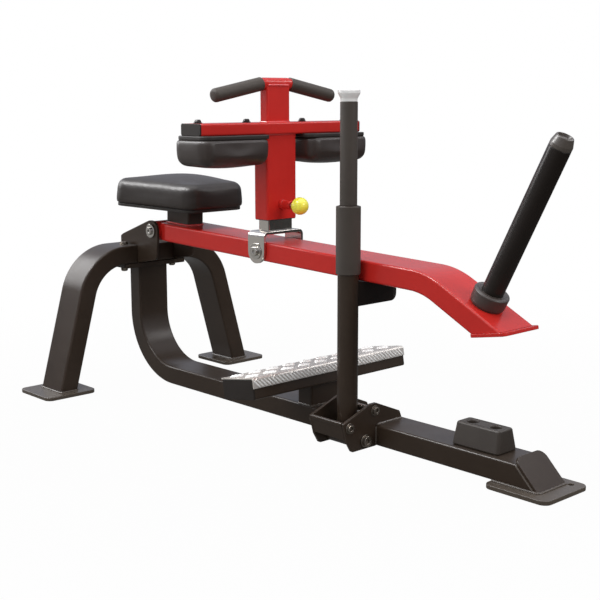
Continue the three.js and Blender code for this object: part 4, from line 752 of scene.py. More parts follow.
# Painted highlight: the beads get a lighter copy of the frame's powder paint, standing in for the light
# on their rounded tops.
WELD_PAINTED_HIGHLIGHT = Finish("weld_painted_highlight", "frame_paint", (86, 77, 69), 0.22, 0.34, relief_scale=420,
              relief_height=0.06)
GLOSS_RED = Finish("gloss_red_paint", "arm_paint", (204, 44, 38), 0.2, 0.26, specular=0.25, coat=0.05,
                   coat_roughness=0.1, mottle=0.03, relief_scale=160, relief_height=0.005)
# Painted highlight: the red beads get a lighter, pinker copy of the red paint, standing in for the light
# on them.
RED_WELD_PAINTED_HIGHLIGHT = Finish("red_weld_painted_highlight", "arm_paint", (222, 72, 72), 0.16, 0.24, coat=0.5,
                  coat_roughness=0.1, relief_scale=300, relief_height=0.03)
SATIN_BLACK = Finish("satin_black_steel", "black_steel", (34, 28, 24), 0.28, 0.4, specular=0.3)
# Its light edges are partly wear and partly a painted highlight on the bolts' edges.
OXIDE = Finish("black_oxide_steel", "black_steel", (142, 133, 122), 0.18, 0.26, metallic=0.9,
               relief_height=0.01, wear_and_highlight=0.4, wear_and_highlight_colour=(190, 184, 176))
ZINC = Finish("zinc_plated_steel", "bare_steel", (196, 192, 185), 0.14, 0.22, metallic=1.0,
              relief=Effect.BRUSHED, relief_scale=600, relief_height=0.01)
CHROME = Finish("polished_chrome", "chrome", (214, 208, 200), 0.1, 0.16, metallic=1.0, mottle=0.02,
                relief_scale=160, relief_height=0.004)
# Painted reflection: the chromed cup gets a near-white, hardly metallic paint that stands in for the
# bright studio it mirrors.
CUP_PAINTED_REFLECTION = Finish("cup_painted_reflection", "chrome", (250, 249, 247), 0.14, 0.2, metallic=0.1,
                    mottle=0.02, relief_scale=160, relief_height=0.004)
BRONZE = Finish("bearing_bronze", "bronze", (158, 128, 70), metallic=1.0)
TREAD = Finish("rolled_tread_metal", "tread_metal", (216, 210, 202), 0.3, 0.42, metallic=0.6,
               relief=Effect.BRUSHED, relief_scale=420)
# Painted highlight: half of the tread's bars are near-white, standing in for the light they catch; the
# rest share the sheet's finish.
TREAD_BAR_PAINTED_HIGHLIGHT = Finish("tread_bar_painted_highlight", "tread_metal", (255, 254, 252), 0.2, 0.3, metallic=0.05,
                   mottle=0.04, relief=Effect.BRUSHED, relief_scale=420, relief_height=0.01)
PLASTIC = Finish("matte_black_plastic", "black_plastic", (40, 35, 31), 0.42, 0.55, specular=0.35,
                 relief_scale=900, relief_height=0.015, top_dust_and_light=0.05)
CAP_PLASTIC = Finish("platform_cap_plastic", "black_plastic", (38, 32, 28), 0.42, 0.55, specular=0.25,
                     relief_scale=900, relief_height=0.015)
HORN_PLASTIC = Finish("horn_cap_plastic", "black_plastic", (84, 77, 71), 0.3, 0.42, relief_scale=900,
                      relief_height=0.015)
YELLOW = Finish("gloss_yellow_ball", "yellow_plastic", (255, 248, 82), 0.2, 0.26, coat=0.2,
                mottle=0.0, relief_scale=60, relief_height=0.005)
BUMPER_RUBBER = Finish("moulded_bumper_rubber", "bumper_rubber", (58, 50, 43), 0.5, 0.66, specular=0.4,
                       relief=Effect.PEBBLE, relief_height=0.05, top_dust_and_light=0.1)
COLLAR_RUBBER = Finish("hard_collar_rubber", "bumper_rubber", (66, 58, 54), 0.34, 0.46,
                       relief=Effect.PEBBLE)
GRIP_RUBBER = Finish("soft_grip_rubber", "grip_rubber", (70, 63, 57), 0.5, 0.66, specular=0.3,
                     relief=Effect.PEBBLE, relief_scale=600, relief_height=0.05, top_dust_and_light=0.06)
VINYL = Finish("soft_vinyl", "vinyl", (43, 36, 31), 0.36, 0.48, specular=0.4, relief=Effect.PEBBLE,
               relief_scale=430, relief_height=0.05, top_dust_and_light=0.03)
# Painted light: the knee pads get a lighter copy of the seat's vinyl, standing in for the light on them.
PAD_VINYL_PAINTED_LIGHT = Finish("pad_vinyl_painted_light", "vinyl", (57, 49, 45), 0.34, 0.46, specular=0.4,
                   relief=Effect.PEBBLE, relief_scale=430, relief_height=0.05)


# ---- dressing ----


def metres(points: Array) -> Array:
    """Points in millimetres in the drawings' axes as metres in the machine's shared frame."""
    return (points - (ORIGIN_AHEAD, 0, 0)) * MM


def cleaned(mesh: bpy.types.Mesh, flatten: bool = False) -> None:
    """Merges a mesh's doubles and turns its faces outwards.

    Args:
        mesh: The mesh.
        flatten: Whether neighbours that lie in one plane become one face.
    """
    body = bmesh.new()
    body.from_mesh(mesh)
    bmesh.ops.remove_doubles(body, verts=body.verts, dist=SAME_POINT)
    if flatten:
        bmesh.ops.dissolve_limit(body, angle_limit=0.002, verts=body.verts, edges=body.edges)
    bmesh.ops.recalc_face_normals(body, faces=body.faces)
    body.to_mesh(mesh)
    body.free()


def linked(name: str, data: bpy.types.ID) -> bpy.types.Object:
    """A new object in the scene."""
    made = bpy.data.objects.new(name, data)
    bpy.context.scene.collection.objects.link(made)
    return made


def fill_mesh(name: str, shape: Shape) -> bpy.types.Object:
    """A shape as an object in the machine's shared frame, its doubles merged, its faces outwards."""
    mesh = bpy.data.meshes.new(name)
    faces = [face for block in shape.faces for face in block.tolist()]
    mesh.from_pydata(metres(shape.points), [], faces)
    cleaned(mesh)
    mesh.validate()
    return linked(name, mesh)


@dataclass
class SubAssembly:
    """A group of pieces that ride on one body of the machine."""

    body: str = "frame"

    def dress(self, name: str, shape: Shape | bpy.types.Object, finish: Finish, *nodes: str,
              sharp: float = 40) -> bpy.types.Object:
        """Makes a piece, hangs it on its body and hides the solids that it stands for.

        Args:
            name: The piece's name.
            shape: The shape, or an object that is already filled.
            finish: Its finish.
            nodes: The solids it stands for.
            sharp: Faces that meet at more degrees than this keep a hard edge.

        Returns:
            The finished object.
        """
        piece = shape if isinstance(shape, bpy.types.Object) else fill_mesh(name, shape)
        piece.data.shade_smooth()
        piece.data.set_sharp_from_angle(angle=math.radians(sharp))
        even = piece.modifiers.new("even_shading", "WEIGHTED_NORMAL")
        even.keep_sharp = True
        piece.data.materials.clear()
        piece.data.materials.append(finish.material())
        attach(piece, self.body)
        if nodes:
            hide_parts(*nodes)
        LOG.info("%s: %s", type(self).__name__, piece.name)
        return piece

    def pair(self, name: str, own: str, shape: Shape, finish: Finish, node: str, *places: Array,
             sharp: float = 40) -> None:
        """Dresses a piece and then its twin on the machine's other side.

        Args:
            name: The pieces' name, with {} for the side.
            own: The side that the shape is on, left or right.
            shape: The first piece's shape.
            finish: Their finish.
            node: The solids' name, with {} for the side.
            places: Where both go once the twin is mirrored.
            sharp: As for dress.
        """
        twins = {"left": "right", "right": "left"}
        for side, form in ((own, shape), (twins[own], shape.mirrored())):
            self.dress(name.format(side), form.to(*places), finish, node.format(side), sharp=sharp)

    def keep(self, frame: dict, finish: Finish, *nodes: str) -> None:
        """Gives solids that stay as they are their finish."""
        for node in nodes:
            slots = frame["nodes"][node].data.materials
            slots.clear()
            slots.append(finish.material())

    def copy(self, frame: dict, node: str, name: str) -> bpy.types.Object:
        """A solid's surface as a new piece, its doubles and its flat neighbours merged.

        Args:
            frame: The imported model.
            node: The solid.
            name: The new piece's name.

        Returns:
            The new object, not yet dressed.
        """
        made = linked(name, frame["nodes"][node].data.copy())
        cleaned(made.data, flatten=True)
        return made


def soften(piece: bpy.types.Object, width: float) -> bpy.types.Object:
    """Rounds the sharp edges of a piece by a width in millimetres."""
    edge = piece.modifiers.new("soft_edges", "BEVEL")
    edge.width = width * MM
    edge.segments = 3
    edge.limit_method = "ANGLE"
    edge.angle_limit = math.radians(35)
    edge.harden_normals = True
    return piece


# ---- the machine's sub-assemblies ----


@dataclass
class Feet(SubAssembly):
    """The three plates that the machine stands on."""

    spread: float = 321
    rear: Corner = (160, 160)
    front: Corner = (166, 160)
    front_ahead: float = 1433
    thickness: float = 10
    corner: float = 20
    edge: float = 1.4
    anchor: Corner = (1485, 54.5)
    anchor_radius: float = 7

    def build(self) -> None:
        """The rear plates under the arch's legs, and the front one with its anchor hole."""
        # Painted light: the feet's paint is a lighter copy of the frame's.
        rear = plate(rectangle(*self.rear, self.corner, 10), 0, self.thickness, self.edge)
        self.pair("rear_foot_{}_dressed", "left", rear.to(at(y=self.spread)), FOOT_POWDER_PAINTED_LIGHT,
                  "rear_foot_plate_{}")
        loop = rectangle(*self.front, self.corner, 10) + (self.front_ahead, 0)
        front = plate(loop, 0, self.thickness, self.edge, [ring(self.anchor_radius, *self.anchor)])
        self.dress("front_foot_dressed", front, FOOT_POWDER_PAINTED_LIGHT, "front_foot_plate")


@dataclass
class RearArch(SubAssembly):
    """The bent box tube that carries the rear of the machine, and its two bolts."""

    tube: BoxTube = BoxTube(54, 106)
    foot: Corner = (318.8, 0)
    shoulder: Corner = (212.6, 383)
    bend: float = 134
    foot_top: float = 10.3
    bolts: Corner = (9, 87)
    flange_top: float = 410.3
    tube_inside: float = 343.4

    def build(self, frame: dict) -> None:
        """The arch, the beads at its feet and the bolts through its top."""
        (y, z), (inner, high) = self.foot, self.shoulder
        floor = Cut(0, self.foot_top, 0)
        corners = [(-y, z), (-inner, high), (inner, high), (y, z)]
        arch = self.tube.along(corners, self.bend, floor, floor).to(Drawn.ALONG_X.place)
        self.dress("arch_dressed", arch, POWDER, "rear_arch")
        lean = math.atan2(y - inner, high)
        loop = rectangle(self.tube.width + 1.5, self.tube.depth / math.cos(lean) + 1.5, 7, 4)
        loop += (0, y - self.foot_top * math.tan(lean))
        self.dress("arch_welds", bead(lifted(loop, self.foot_top), 3.2).sides(), WELD_PAINTED_HIGHLIGHT)
        self.pair("arch_bolt_{}", "left", self.bolt().to(at(*self.bolts)), OXIDE, "flange_bolt_{}",
                  sharp=30)
        self.keep(frame, POWDER, "riser_flange")

    def bolt(self) -> Shape:
        """A hexagon bolt down through the flange and the arch, with a dome under its end."""
        low, high = self.tube_inside, self.flange_top
        dome = turned([(0, low - 13), (10, low - 13, 5), (10.5, low - GAP, 1), (0, low - GAP)])
        return joined(disc(8, low - 10, high + 6), disc(13, high, high + 1.6), dome,
                      hexagon(20, high + 1.6, high + 8))


@dataclass
class Beam(SubAssembly):
    """The main beam, which comes down from the arch and runs to the front foot."""

    tube: BoxTube = BoxTube(52, 102)
    corners: tuple = ((9, 343.4), (9, 36.3), (1516, 36.3))
    bend: float = 170
    nose: Corner = (1412, 62.3)
    slant: float = 45
    plate_width: float = 102
    plate_top: float = 10
    plate_reach: float = 84
    plate_corner: float = 22
    plate_thickness: float = 8
    foot_top: float = 10.3
    foot_back: float = 1350

    def build(self) -> None:
        """The beam, its end plate and the beads that hold them."""
        x, z = self.nose
        beam = self.tube.along(self.corners, self.bend, end=Cut(x, z, -self.slant))
        self.dress("beam_dressed", beam.to(Drawn.ALONG_Y.place), POWDER, "main_beam")
        half, top, turn = self.plate_width / 2, self.plate_top, self.plate_corner
        loop = rounded([(-half, -self.plate_reach), (half, -self.plate_reach), (half, top, turn),
                        (-half, top, turn)], steps=10)
        end = plate(loop, GAP, GAP + self.plate_thickness, 1.2)
        end = end.to(Drawn.ALONG_X.place, at(x, 0, z, fall=-self.slant))
        self.dress("beam_end_dressed", end.raised(self.foot_top, (-1, 0, 1)), POWDER, "beam_end_plate")
        self.dress("beam_welds", self.welds(), WELD_PAINTED_HIGHLIGHT)

    def welds(self) -> Shape:
        """Beads along the front foot, round the end plate and under the arch's flange."""
        (x, z), half = self.nose, self.tube.width / 2
        low, tip, out = self.foot_top + 0.6, x + z - self.foot_top, half + 0.6
        right = [(self.foot_back + 1, -out, low), (tip + 8, -out, low), (tip + 13, 4 - half, low)]
        foot = open_bead(3, *right, *((ahead, -side, up) for ahead, side, up in right[::-1]))
        cheek = open_bead(2.4, (tip - 2, -half - 0.2, low + 1.4), (x + 5, -half - 0.2, z - 5),
                          (x + 1, 4 - half, z - 0.4))
        over = open_bead(2.2, (x - 0.5, 5 - half, z + 0.2), (x - 0.5, half - 5, z + 0.2))
        ahead, top = self.corners[0]
        return joined(foot, cheek.sides(), over, self.tube.root(ahead, top - 0.2, 2.8, (1.2, 1.2)))


@dataclass
class ArmPivot(SubAssembly):
    """The two cheek plates on the arch, and the shaft that the arm turns on."""

    outline: tuple = ((-32, 410.3, 0), (53.3, 410.3, 0), (53.3, 358, 0), (145.3, 375.33, 12),
                      (154, 443, 15), (154, 488, 29.4), (114, 488, 30), (-20, 439.3, 6),
                      (-32, 432.3, 4))
    inside: float = 61
    thickness: float = 8
    shaft: Corner = (124, 458)
    shaft_radius: float = 15
    cap_radius: float = 20
    screw_radius: float = 11

    def build(self) -> None:
        """The plates, the shaft and the caps screwed to its ends."""
        outside = self.inside + self.thickness
        hole = ring(self.shaft_radius + GAP, *self.shaft, steps=48)
        cheek = plate(rounded(self.outline, steps=10), self.inside, outside, 1.2, [hole])
        self.pair("cheek_{}_dressed", "right", cheek.to(Drawn.ALONG_Y.place), POWDER, "pivot_plate_{}")
        x, z = self.shaft
        cap = turned([(0, outside), (self.cap_radius, outside + GAP, 0.5),
                      (self.cap_radius, outside + 5, 1.2), (self.screw_radius + 0.5, outside + 5, 0.5),
                      (0, outside + 4.6)])
        screw = socket_screw(self.screw_radius, outside + 4.5, outside + 10.3, 5, 3.5)
        half = joined(disc(self.shaft_radius, -1, outside + 1), cap, screw)
        shaft = half.to(Drawn.ALONG_Y.place, at(x, 0, z)).sides()
        self.dress("pivot_shaft_dressed", shaft, ZINC, "pivot_shaft", sharp=30)


@dataclass
class Platform(SubAssembly):
    """The tilted foot platform on its pillar, with its patterned tread."""

    middle: Corner = (748.36, 138.5)
    tilt: float = 9.8
    tube: BoxTube = BoxTube(115, 50, 3, 5)
    length: float = 534
    cap: float = 4
    plug: Corner = (20, 0.5, 3)
    tread: float = 3
    lip: float = 26
    fold: float = 7
    pillar: BoxTube = BoxTube(52, 102)
    pillar_ahead: float = 753.36
    beam_top: float = 62.6
    bar_length: float = 34
    bar_width: float = 4.8
    bar_height: float = 2.2
    bar_gap: float = 8.2
    step: float = 29

    @property
    def place(self) -> Array:
        """The platform's own place: its x runs up the tilt."""
        return at(self.middle[0], 0, self.middle[1], fall=-self.tilt)

    def build(self) -> None:
        """The pillar, the cross tube with its caps, and the tread."""
        a = math.radians(self.tilt)
        under = self.top - self.tread
        x, z = self.middle[0] + under * math.sin(a), self.middle[1] - under * math.cos(a)
        way = [(self.pillar_ahead, self.beam_top), (self.pillar_ahead, z)]
        pillar = self.pillar.along(way, end=Cut(x, z, self.tilt)).to(Drawn.ALONG_Y.place)
        self.dress("platform_pillar_dressed", pillar, POWDER, "platform_pillar")
        root = self.pillar.root(self.pillar_ahead, self.beam_top, 2.8, (1.2, -2))
        self.dress("pillar_welds", root, WELD_PAINTED_HIGHLIGHT)
        end = self.length / 2
        tube = self.tube.along([(0, GAP + self.cap - end), (0, end - self.cap - GAP)]).to(self.place)
        self.dress("platform_tube_dressed", tube, POWDER, "platform_tube")
        self.pair("platform_cap_{}_dressed", "right", self.tube.cap(end, self.cap, self.plug),
                  CAP_PLASTIC, "platform_cap_{}", self.place)
        sheet = joined(self.sheet(), self.bars(1)).to(self.place)
        self.dress("tread_dressed", sheet, TREAD, "tread_plate", sharp=50)
        # Painted highlight: the even columns of bars are near-white for the light that they catch.
        self.dress("tread_bars_painted_highlight", self.bars(0).to(self.place), TREAD_BAR_PAINTED_HIGHLIGHT, sharp=60)

    def sheet(self) -> Shape:
        """The tread's folded sheet."""
        outer, top = self.half_depth, self.top
        inner, under, low = outer - self.tread, top - self.tread, top - self.lip
        loop = rounded([(-outer, under), (inner, under, self.fold - self.tread), (inner, low),
                        (outer, low), (outer, top, self.fold), (-outer, top)], 0.6, 8)
        return plate(loop, -self.length / 2, self.length / 2, 0.3).to(Drawn.ALONG_Y.place)

    def bars(self, odd: int) -> Shape:
        """Half of the raised bars. Their groups of five lie one way and the other by turns, as a
        lattice turned by 45 degrees: column c has its groups at y = (2 k + c) step, and lies along
        (1, 1) where c is even and along (1, -1) where it is odd. Down the lip, column 0, the bars
        of a group slide along themselves to one level.

        Each bar is a low dome, drawn once and set out as one array over the unfolded sheet, and
        cut off at the sheet's edges.

        Args:
            odd: 1 for the odd columns, 0 for the even ones.

        Returns:
            The bars in the platform's place.
        """
        levels, around = 4, 12
        turn = 2 * math.pi * np.arange(around) / around
        shares = np.array([1, 0.82, 0.45, 0])[:, None]
        rises = np.repeat([-0.2, 0.6, 0.93, 1], around) * self.bar_height * (1 - odd / 2)
        along = (shares * np.cos(turn) * self.bar_length / 2).ravel()
        beside = (shares * np.sin(turn) * self.bar_width / 2).ravel()
        spots = np.meshgrid(np.arange(-4, 2, 2) + odd, np.arange(-6, 7), np.arange(-2, 3), indexing="ij")
        column, row, place = (axis.ravel() for axis in spots)
        place = place * self.bar_gap * math.sqrt(0.5)
        way = np.full(len(column), 1 - 2 * odd)
        level = np.where(column == 0, place, 0)
        down = self.lip_middle + column * self.step + place - level
        over = (2 * row + odd) * self.step - way * (place + level)
        s = down[:, None] + (along - beside * way[:, None]) * math.sqrt(0.5)
        y = over[:, None] + (along * way[:, None] + beside) * math.sqrt(0.5)
        low, high, side = 2 - self.half_depth, self.unfolded_end - 1, self.length / 2 - 1
        kept = (down > low) & (down < high + 9) & (np.abs(over) < side)
        s, y = np.clip(s[kept], low, high), np.clip(y[kept], -side, side)
        points = self.folded(s, y, np.broadcast_to(rises, s.shape))
        quads = grid(np.zeros((levels, around, 3))).faces[0]
        starts = levels * around * np.arange(len(s))[:, None, None]
        return Shape(points.reshape(-1, 3), [(quads + starts).reshape(-1, 4)])

    @property
    def half_depth(self) -> float:
        """From the platform's middle to the tread's outside."""
        return self.tube.depth / 2 + GAP + self.tread

    @property
    def top(self) -> float:
        """From the platform's middle up to the tread's upper face."""
        return self.tube.width / 2 + GAP + self.tread

    @property
    def unfolded_end(self) -> float:
        """The lip's free edge on the unfolded sheet."""
        return self.half_depth - self.fold + self.fold * math.pi / 2 + self.lip - self.fold

    @property
    def lip_middle(self) -> float:
        """The middle of the lip's flat on the unfolded sheet."""
        return self.unfolded_end - (self.lip - self.fold) / 2

    def folded(self, s: Array, y: Array, height: Array) -> Array:
        """Points of the unfolded sheet on the folded one.

        With a = (s - flat) / fold held between 0 and a quarter turn, x = min(s, flat) + fold sin a
        and z = top - fold (1 - cos a) - what of s is left beyond the fold. The height goes along
        (sin a, cos a).

        Args:
            s: Distance down the sheet from the platform's middle.
            y: Place along the platform.
            height: Height over the sheet.

        Returns:
            The points in the platform's place.
        """
        flat = self.half_depth - self.fold
        a = np.clip((s - flat) / self.fold, 0, math.pi / 2)
        x = np.minimum(s, flat) + (self.fold + height) * np.sin(a)
        z = self.top - self.fold + (self.fold + height) * np.cos(a)
        z = z - np.maximum(s - flat - self.fold * math.pi / 2, 0)
        return np.stack([x, y, z], -1)


@dataclass
class Bumper(SubAssembly):
    """The rubber block that the arm comes down on, with two screws deep in its top."""

    ahead: float = 1290
    base: Corner = (132, 72)
    top: Corner = (124, 50)
    low: float = 62.6
    high: float = 114.7
    corner: float = 9
    edge: float = 4
    spread: float = 65
    well: float = 13
    depth: float = 24
    screw: float = 9

    def build(self) -> None:
        """The block, tapered by sliding its skin inwards in step with the height, and its screws."""
        spots = (-self.spread / 2, self.spread / 2)
        wells = [ring(self.well, spot, 0, 40) for spot in spots]
        block = plate(rectangle(*self.base, self.corner, 8), self.low, self.high, self.edge, wells)
        x, y, z = block.points.T
        risen = (z - self.low) / (self.high - self.low)
        skin = np.abs(y) > self.well + 8
        x = x - np.sign(x) * risen * skin * (self.base[0] - self.top[0]) / 2
        y = y - np.sign(y) * risen * skin * (self.base[1] - self.top[1]) / 2
        block = Shape(np.stack([x, y, z], 1), block.faces)
        floor = self.high - self.depth
        seat = disc(self.well + 0.2, self.low + 1, floor)
        block = joined(block, *(seat.to(at(spot)) for spot in spots)).to(at(self.ahead))
        self.dress("bumper_dressed", block, BUMPER_RUBBER, "bumper_block")
        screw = socket_screw(self.screw, floor, floor + 10, 5, 5)
        pair = joined(*(screw.to(at(self.ahead + spot)) for spot in spots))
        self.dress("bumper_screws", pair, OXIDE, sharp=30)


@dataclass
class LeverBracket(SubAssembly):
    """The two cheeks beside the beam that the hand lever hangs between, with pin and stops."""

    ahead: float = 946.04
    inside: float = 51
    thickness: float = 8
    outline: tuple = ((-51.3, 62.6, 0), (-51.3, 10.3, 0), (-133, 10.3, 9), (-149, 37, 9),
                      (-162, 84, 3), (-70, 117, 9), (-51, 117, 9), (33, 82, 9), (41, 62.6, 0))
    pivot: Corner = (-90, 31)
    stops: tuple = ((-142, 71), (-56.7, 99))
    pin: SocketBolt = SocketBolt(10, 15, 3.3, 12.5, 12.3, 6.5, 6)
    stop: SocketBolt = SocketBolt(8, 12.5, 1.8, 9.5, 8.8, 5, 5)
    side_end: float = 4.5
    side_thickness: float = 6
    side_lip: float = 3
    side_roll: float = 5

    def build(self) -> None:
        """The cheeks, their beads on the beam, the pivot bolt and the stops."""
        outer = self.inside + self.thickness
        bolts = (("lever_bolt_dressed", "lever_pivot_bolt", self.pin, self.pivot),
                 ("lever_stop_outer_dressed", "lever_stop_outer", self.stop, self.stops[0]),
                 ("lever_stop_inner_dressed", "lever_stop_inner", self.stop, self.stops[1]))
        holes = [ring(bolt.shank + GAP, *spot) for _, _, bolt, spot in bolts]
        cheek = plate(rounded(self.outline, steps=8), self.inside, outer, 1.2, holes)
        cheek = cheek.to(Drawn.ALONG_X.place)
        for end, form in (("front", cheek), ("rear", cheek.mirrored((-1, 1, 1)))):
            self.dress(f"lever_cheek_{end}", form.to(at(self.ahead)), POWDER, f"lever_plate_{end}")
        self.dress("lever_side_dressed", self.side_plate(), POWDER, "lever_side_plate")
        self.dress("lever_cheek_welds", self.welds(), WELD_PAINTED_HIGHLIGHT)
        for name, node, bolt, spot in bolts:
            form = bolt.through(outer).to(Drawn.ALONG_X.place, at(self.ahead, *spot))
            self.dress(name, form, OXIDE, node, sharp=30)

    def side_plate(self) -> Shape:
        """The plate between the cheeks along their slanted outside, its upper edge rolled out."""
        (foot, low), (reach, high) = self.outline[3][:2], self.outline[4][:2]
        lean = (reach - foot) / (high - low)
        bottom, top = low + self.side_end, high - self.side_end * 0.67
        start, end = (foot + (level - low) * lean + GAP for level in (bottom, top))
        thick, lip, half = self.side_thickness, top + self.side_lip, self.inside - GAP
        loop = rounded([(start, bottom), (start + thick, bottom), (end + thick, top), (end + thick, lip),
                        (end - 0.5, lip), (end - 0.5, top)], 1.6, 6)
        roll = disc(self.side_roll, -half, half).to(at(end + self.side_roll - 2, top + 1))
        return joined(plate(loop, -half, half, 0.6), roll).to(Drawn.ALONG_X.place, at(self.ahead))

    def welds(self) -> Shape:
        """Beads where the cheeks stand on the beam and beside it."""
        made = []
        for x in (self.inside + self.thickness + 0.4, self.inside - 0.4):
            for spot in (self.ahead - x, self.ahead + x):
                made += [open_bead(2.4, (spot, -51.6, 11.5), (spot, -51.6, 58)),
                         open_bead(3.8, (spot, -49, 62.7), (spot, 40, 62.7))]
        return joined(*made)


@dataclass(frozen=True)
class Padding:
    """A padded cushion on a flat base: an outline lofted through rings, then swollen as cloth.

    Ring by ring the outline draws in round the base's edge, bulges by draw_in (1 - (2 v - 1) ** 2)
    up the side, draws in again round the top's edge, and then shrinks to its middle over a crown
    of height crown (1 - u ** 2) (1 - w ** 2), where u and w are the shares of the half length and
    of the half width there, so that no crease runs from the corners to the middle.
    """

    outline: tuple
    thickness: float
    crown: float
    top_round: float
    base_round: float
    draw_in: float = 4
    swell: float = 7
    voxel: float = 5
    pressure: float = 4
    fill: float = 0.85
    frames: int = 20

    def form(self) -> Shape:
        """The cushion's form above its base at height 0."""
        loop = divided(rounded(self.outline, steps=12), 12)
        middle = (loop.max(0) + loop.min(0)) / 2
        arc = np.linspace(0, math.pi / 2, 7)
        low, high = self.base_round, self.thickness - self.top_round
        up = np.linspace(0, 1, 8)[1:-1]
        draws = np.concatenate([low * (1 - np.sin(arc)), -self.draw_in * (1 - (2 * up - 1) ** 2) * 0.4,
                                self.top_round * (1 - np.cos(arc))])
        heights = np.concatenate([low * (1 - np.cos(arc)), low + up * (high - low),
                                  high + self.top_round * np.sin(arc)])
        rows = [lifted(inset(loop, draw), height) for draw, height in zip(draws, heights)]
        edge = inset(loop, self.top_round)
        for share in np.cos(np.linspace(0, math.pi / 2, 16)[1:]):
            spots = (edge - middle) * share
            height = self.thickness + self.crown * self.swelling(spots)
            rows.append(np.column_stack([middle + spots, height]))
        return grid(np.stack(rows))

    def swelling(self, spots: Array) -> Array:
        """The crown's share of its height at each spot.

        Args:
            spots: Points (x, y) from the outline's middle.

        Returns:
            (1 - u ** 2) (1 - w ** 2) at each of them.
        """
        corners = np.array([corner[:2] for corner in self.outline])
        corners = corners - (corners.max(0) + corners.min(0)) / 2
        half = corners[:, 0].max()
        widths = [np.abs(corners[corners[:, 0] * way > 0, 1]).max() - self.top_round
                  for way in (-1, 1)]
        u = spots[:, 0] / (half - self.top_round)
        w = spots[:, 1] / np.interp(spots[:, 0], [-half, half], widths)
        return np.clip(1 - u * u, 0, 1) * np.clip(1 - w * w, 0, 1)

    def sewn(self, name: str, *places: Array) -> bpy.types.Object:
        """The rest shape is remeshed evenly, pressed outwards as cloth, and each point's way is cut
        to swell. Points near the base move less, in step with how far they lie above it.

        Args:
            name: The object's name.
            places: Where it goes, from the innermost place outwards.

        Returns:
            The object with its simulation applied.
        """
        loose = fill_mesh(name + "_loose", self.form())
        evenly = loose.modifiers.new("even_mesh", "REMESH")
        evenly.mode = "VOXEL"
        evenly.voxel_size = self.voxel * MM
        base = self.baked(loose)
        rest = self.read(base.data)
        way = self.evened(self.pressed(base) - rest, base.data)
        length = np.linalg.norm(way, axis=1, keepdims=True)
        way *= np.minimum(1, self.swell * MM / np.maximum(length, 1e-9))
        way *= np.clip(rest[:, 2:] / (0.5 * self.thickness * MM), 0, 1)
        points = (rest + way) / MM + (ORIGIN_AHEAD, 0, 0)
        points[:, 2] = np.maximum(points[:, 2], 0)
        placed = Shape(points, []).to(*places)
        base.data.vertices.foreach_set("co", metres(placed.points).ravel())
        smooth = base.modifiers.new("finer", "SUBSURF")
        smooth.levels = smooth.render_levels = 1
        base.name = name
        return base

    def pressed(self, base: bpy.types.Object) -> Array:
        """The points of a closed mesh after some frames as cloth under pressure from inside.

        Args:
            base: The mesh's object, which stays as it was.

        Returns:
            Its points in metres, in their own order.
        """
        cloth = base.modifiers.new("swell", "CLOTH")
        settings = {"quality": 5, "mass": 0.3, "use_pressure": True,
                    "uniform_pressure_force": self.pressure, "tension_stiffness": 20,
                    "compression_stiffness": 20, "bending_stiffness": 2}
        for name, value in settings.items():
            setattr(cloth.settings, name, value)
        cloth.settings.effector_weights.gravity = 0
        cloth.point_cache.frame_start, cloth.point_cache.frame_end = 1, self.frames
        scene = bpy.context.scene
        for frame in range(1, self.frames + 1):
            scene.frame_set(frame)
        grown = self.read(base.evaluated_get(bpy.context.evaluated_depsgraph_get()).data)
        base.modifiers.clear()
        scene.frame_set(1)
        return grown

    @staticmethod
    def read(mesh: bpy.types.Mesh) -> Array:
        """A mesh's points as an array."""
        flat = np.empty(3 * len(mesh.vertices))
        mesh.vertices.foreach_get("co", flat)
        return flat.reshape(-1, 3)

    @staticmethod
    def evened(way: Array, mesh: bpy.types.Mesh, rounds: int = 24) -> Array:
        """The points' ways with each one evened out over its neighbours, a number of rounds, so
        that the cloth keeps its swelling and loses its creases.

        Args:
            way: Each point's way.
            mesh: The mesh whose edges join the neighbours.
            rounds: How often each way becomes the mean of its own and its neighbours' mean.

        Returns:
            The evened ways.
        """
        ends = np.empty(2 * len(mesh.edges), int)
        mesh.edges.foreach_get("vertices", ends)
        one, other = ends.reshape(-1, 2).T
        count = np.bincount(ends, minlength=len(way))[:, None]
        for _ in range(rounds):
            total = np.zeros_like(way)
            np.add.at(total, one, way[other])
            np.add.at(total, other, way[one])
            way = 0.5 * way + 0.5 * total / count
        return way

    @staticmethod
    def baked(loose: bpy.types.Object) -> bpy.types.Object:
        """A new object with the old one's modifiers applied. The old one goes."""
        graph = bpy.context.evaluated_depsgraph_get()
        made = bpy.data.meshes.new_from_object(loose.evaluated_get(graph))
        solid = linked(loose.name + "_even", made)
        bpy.data.objects.remove(loose, do_unlink=True)
        return solid


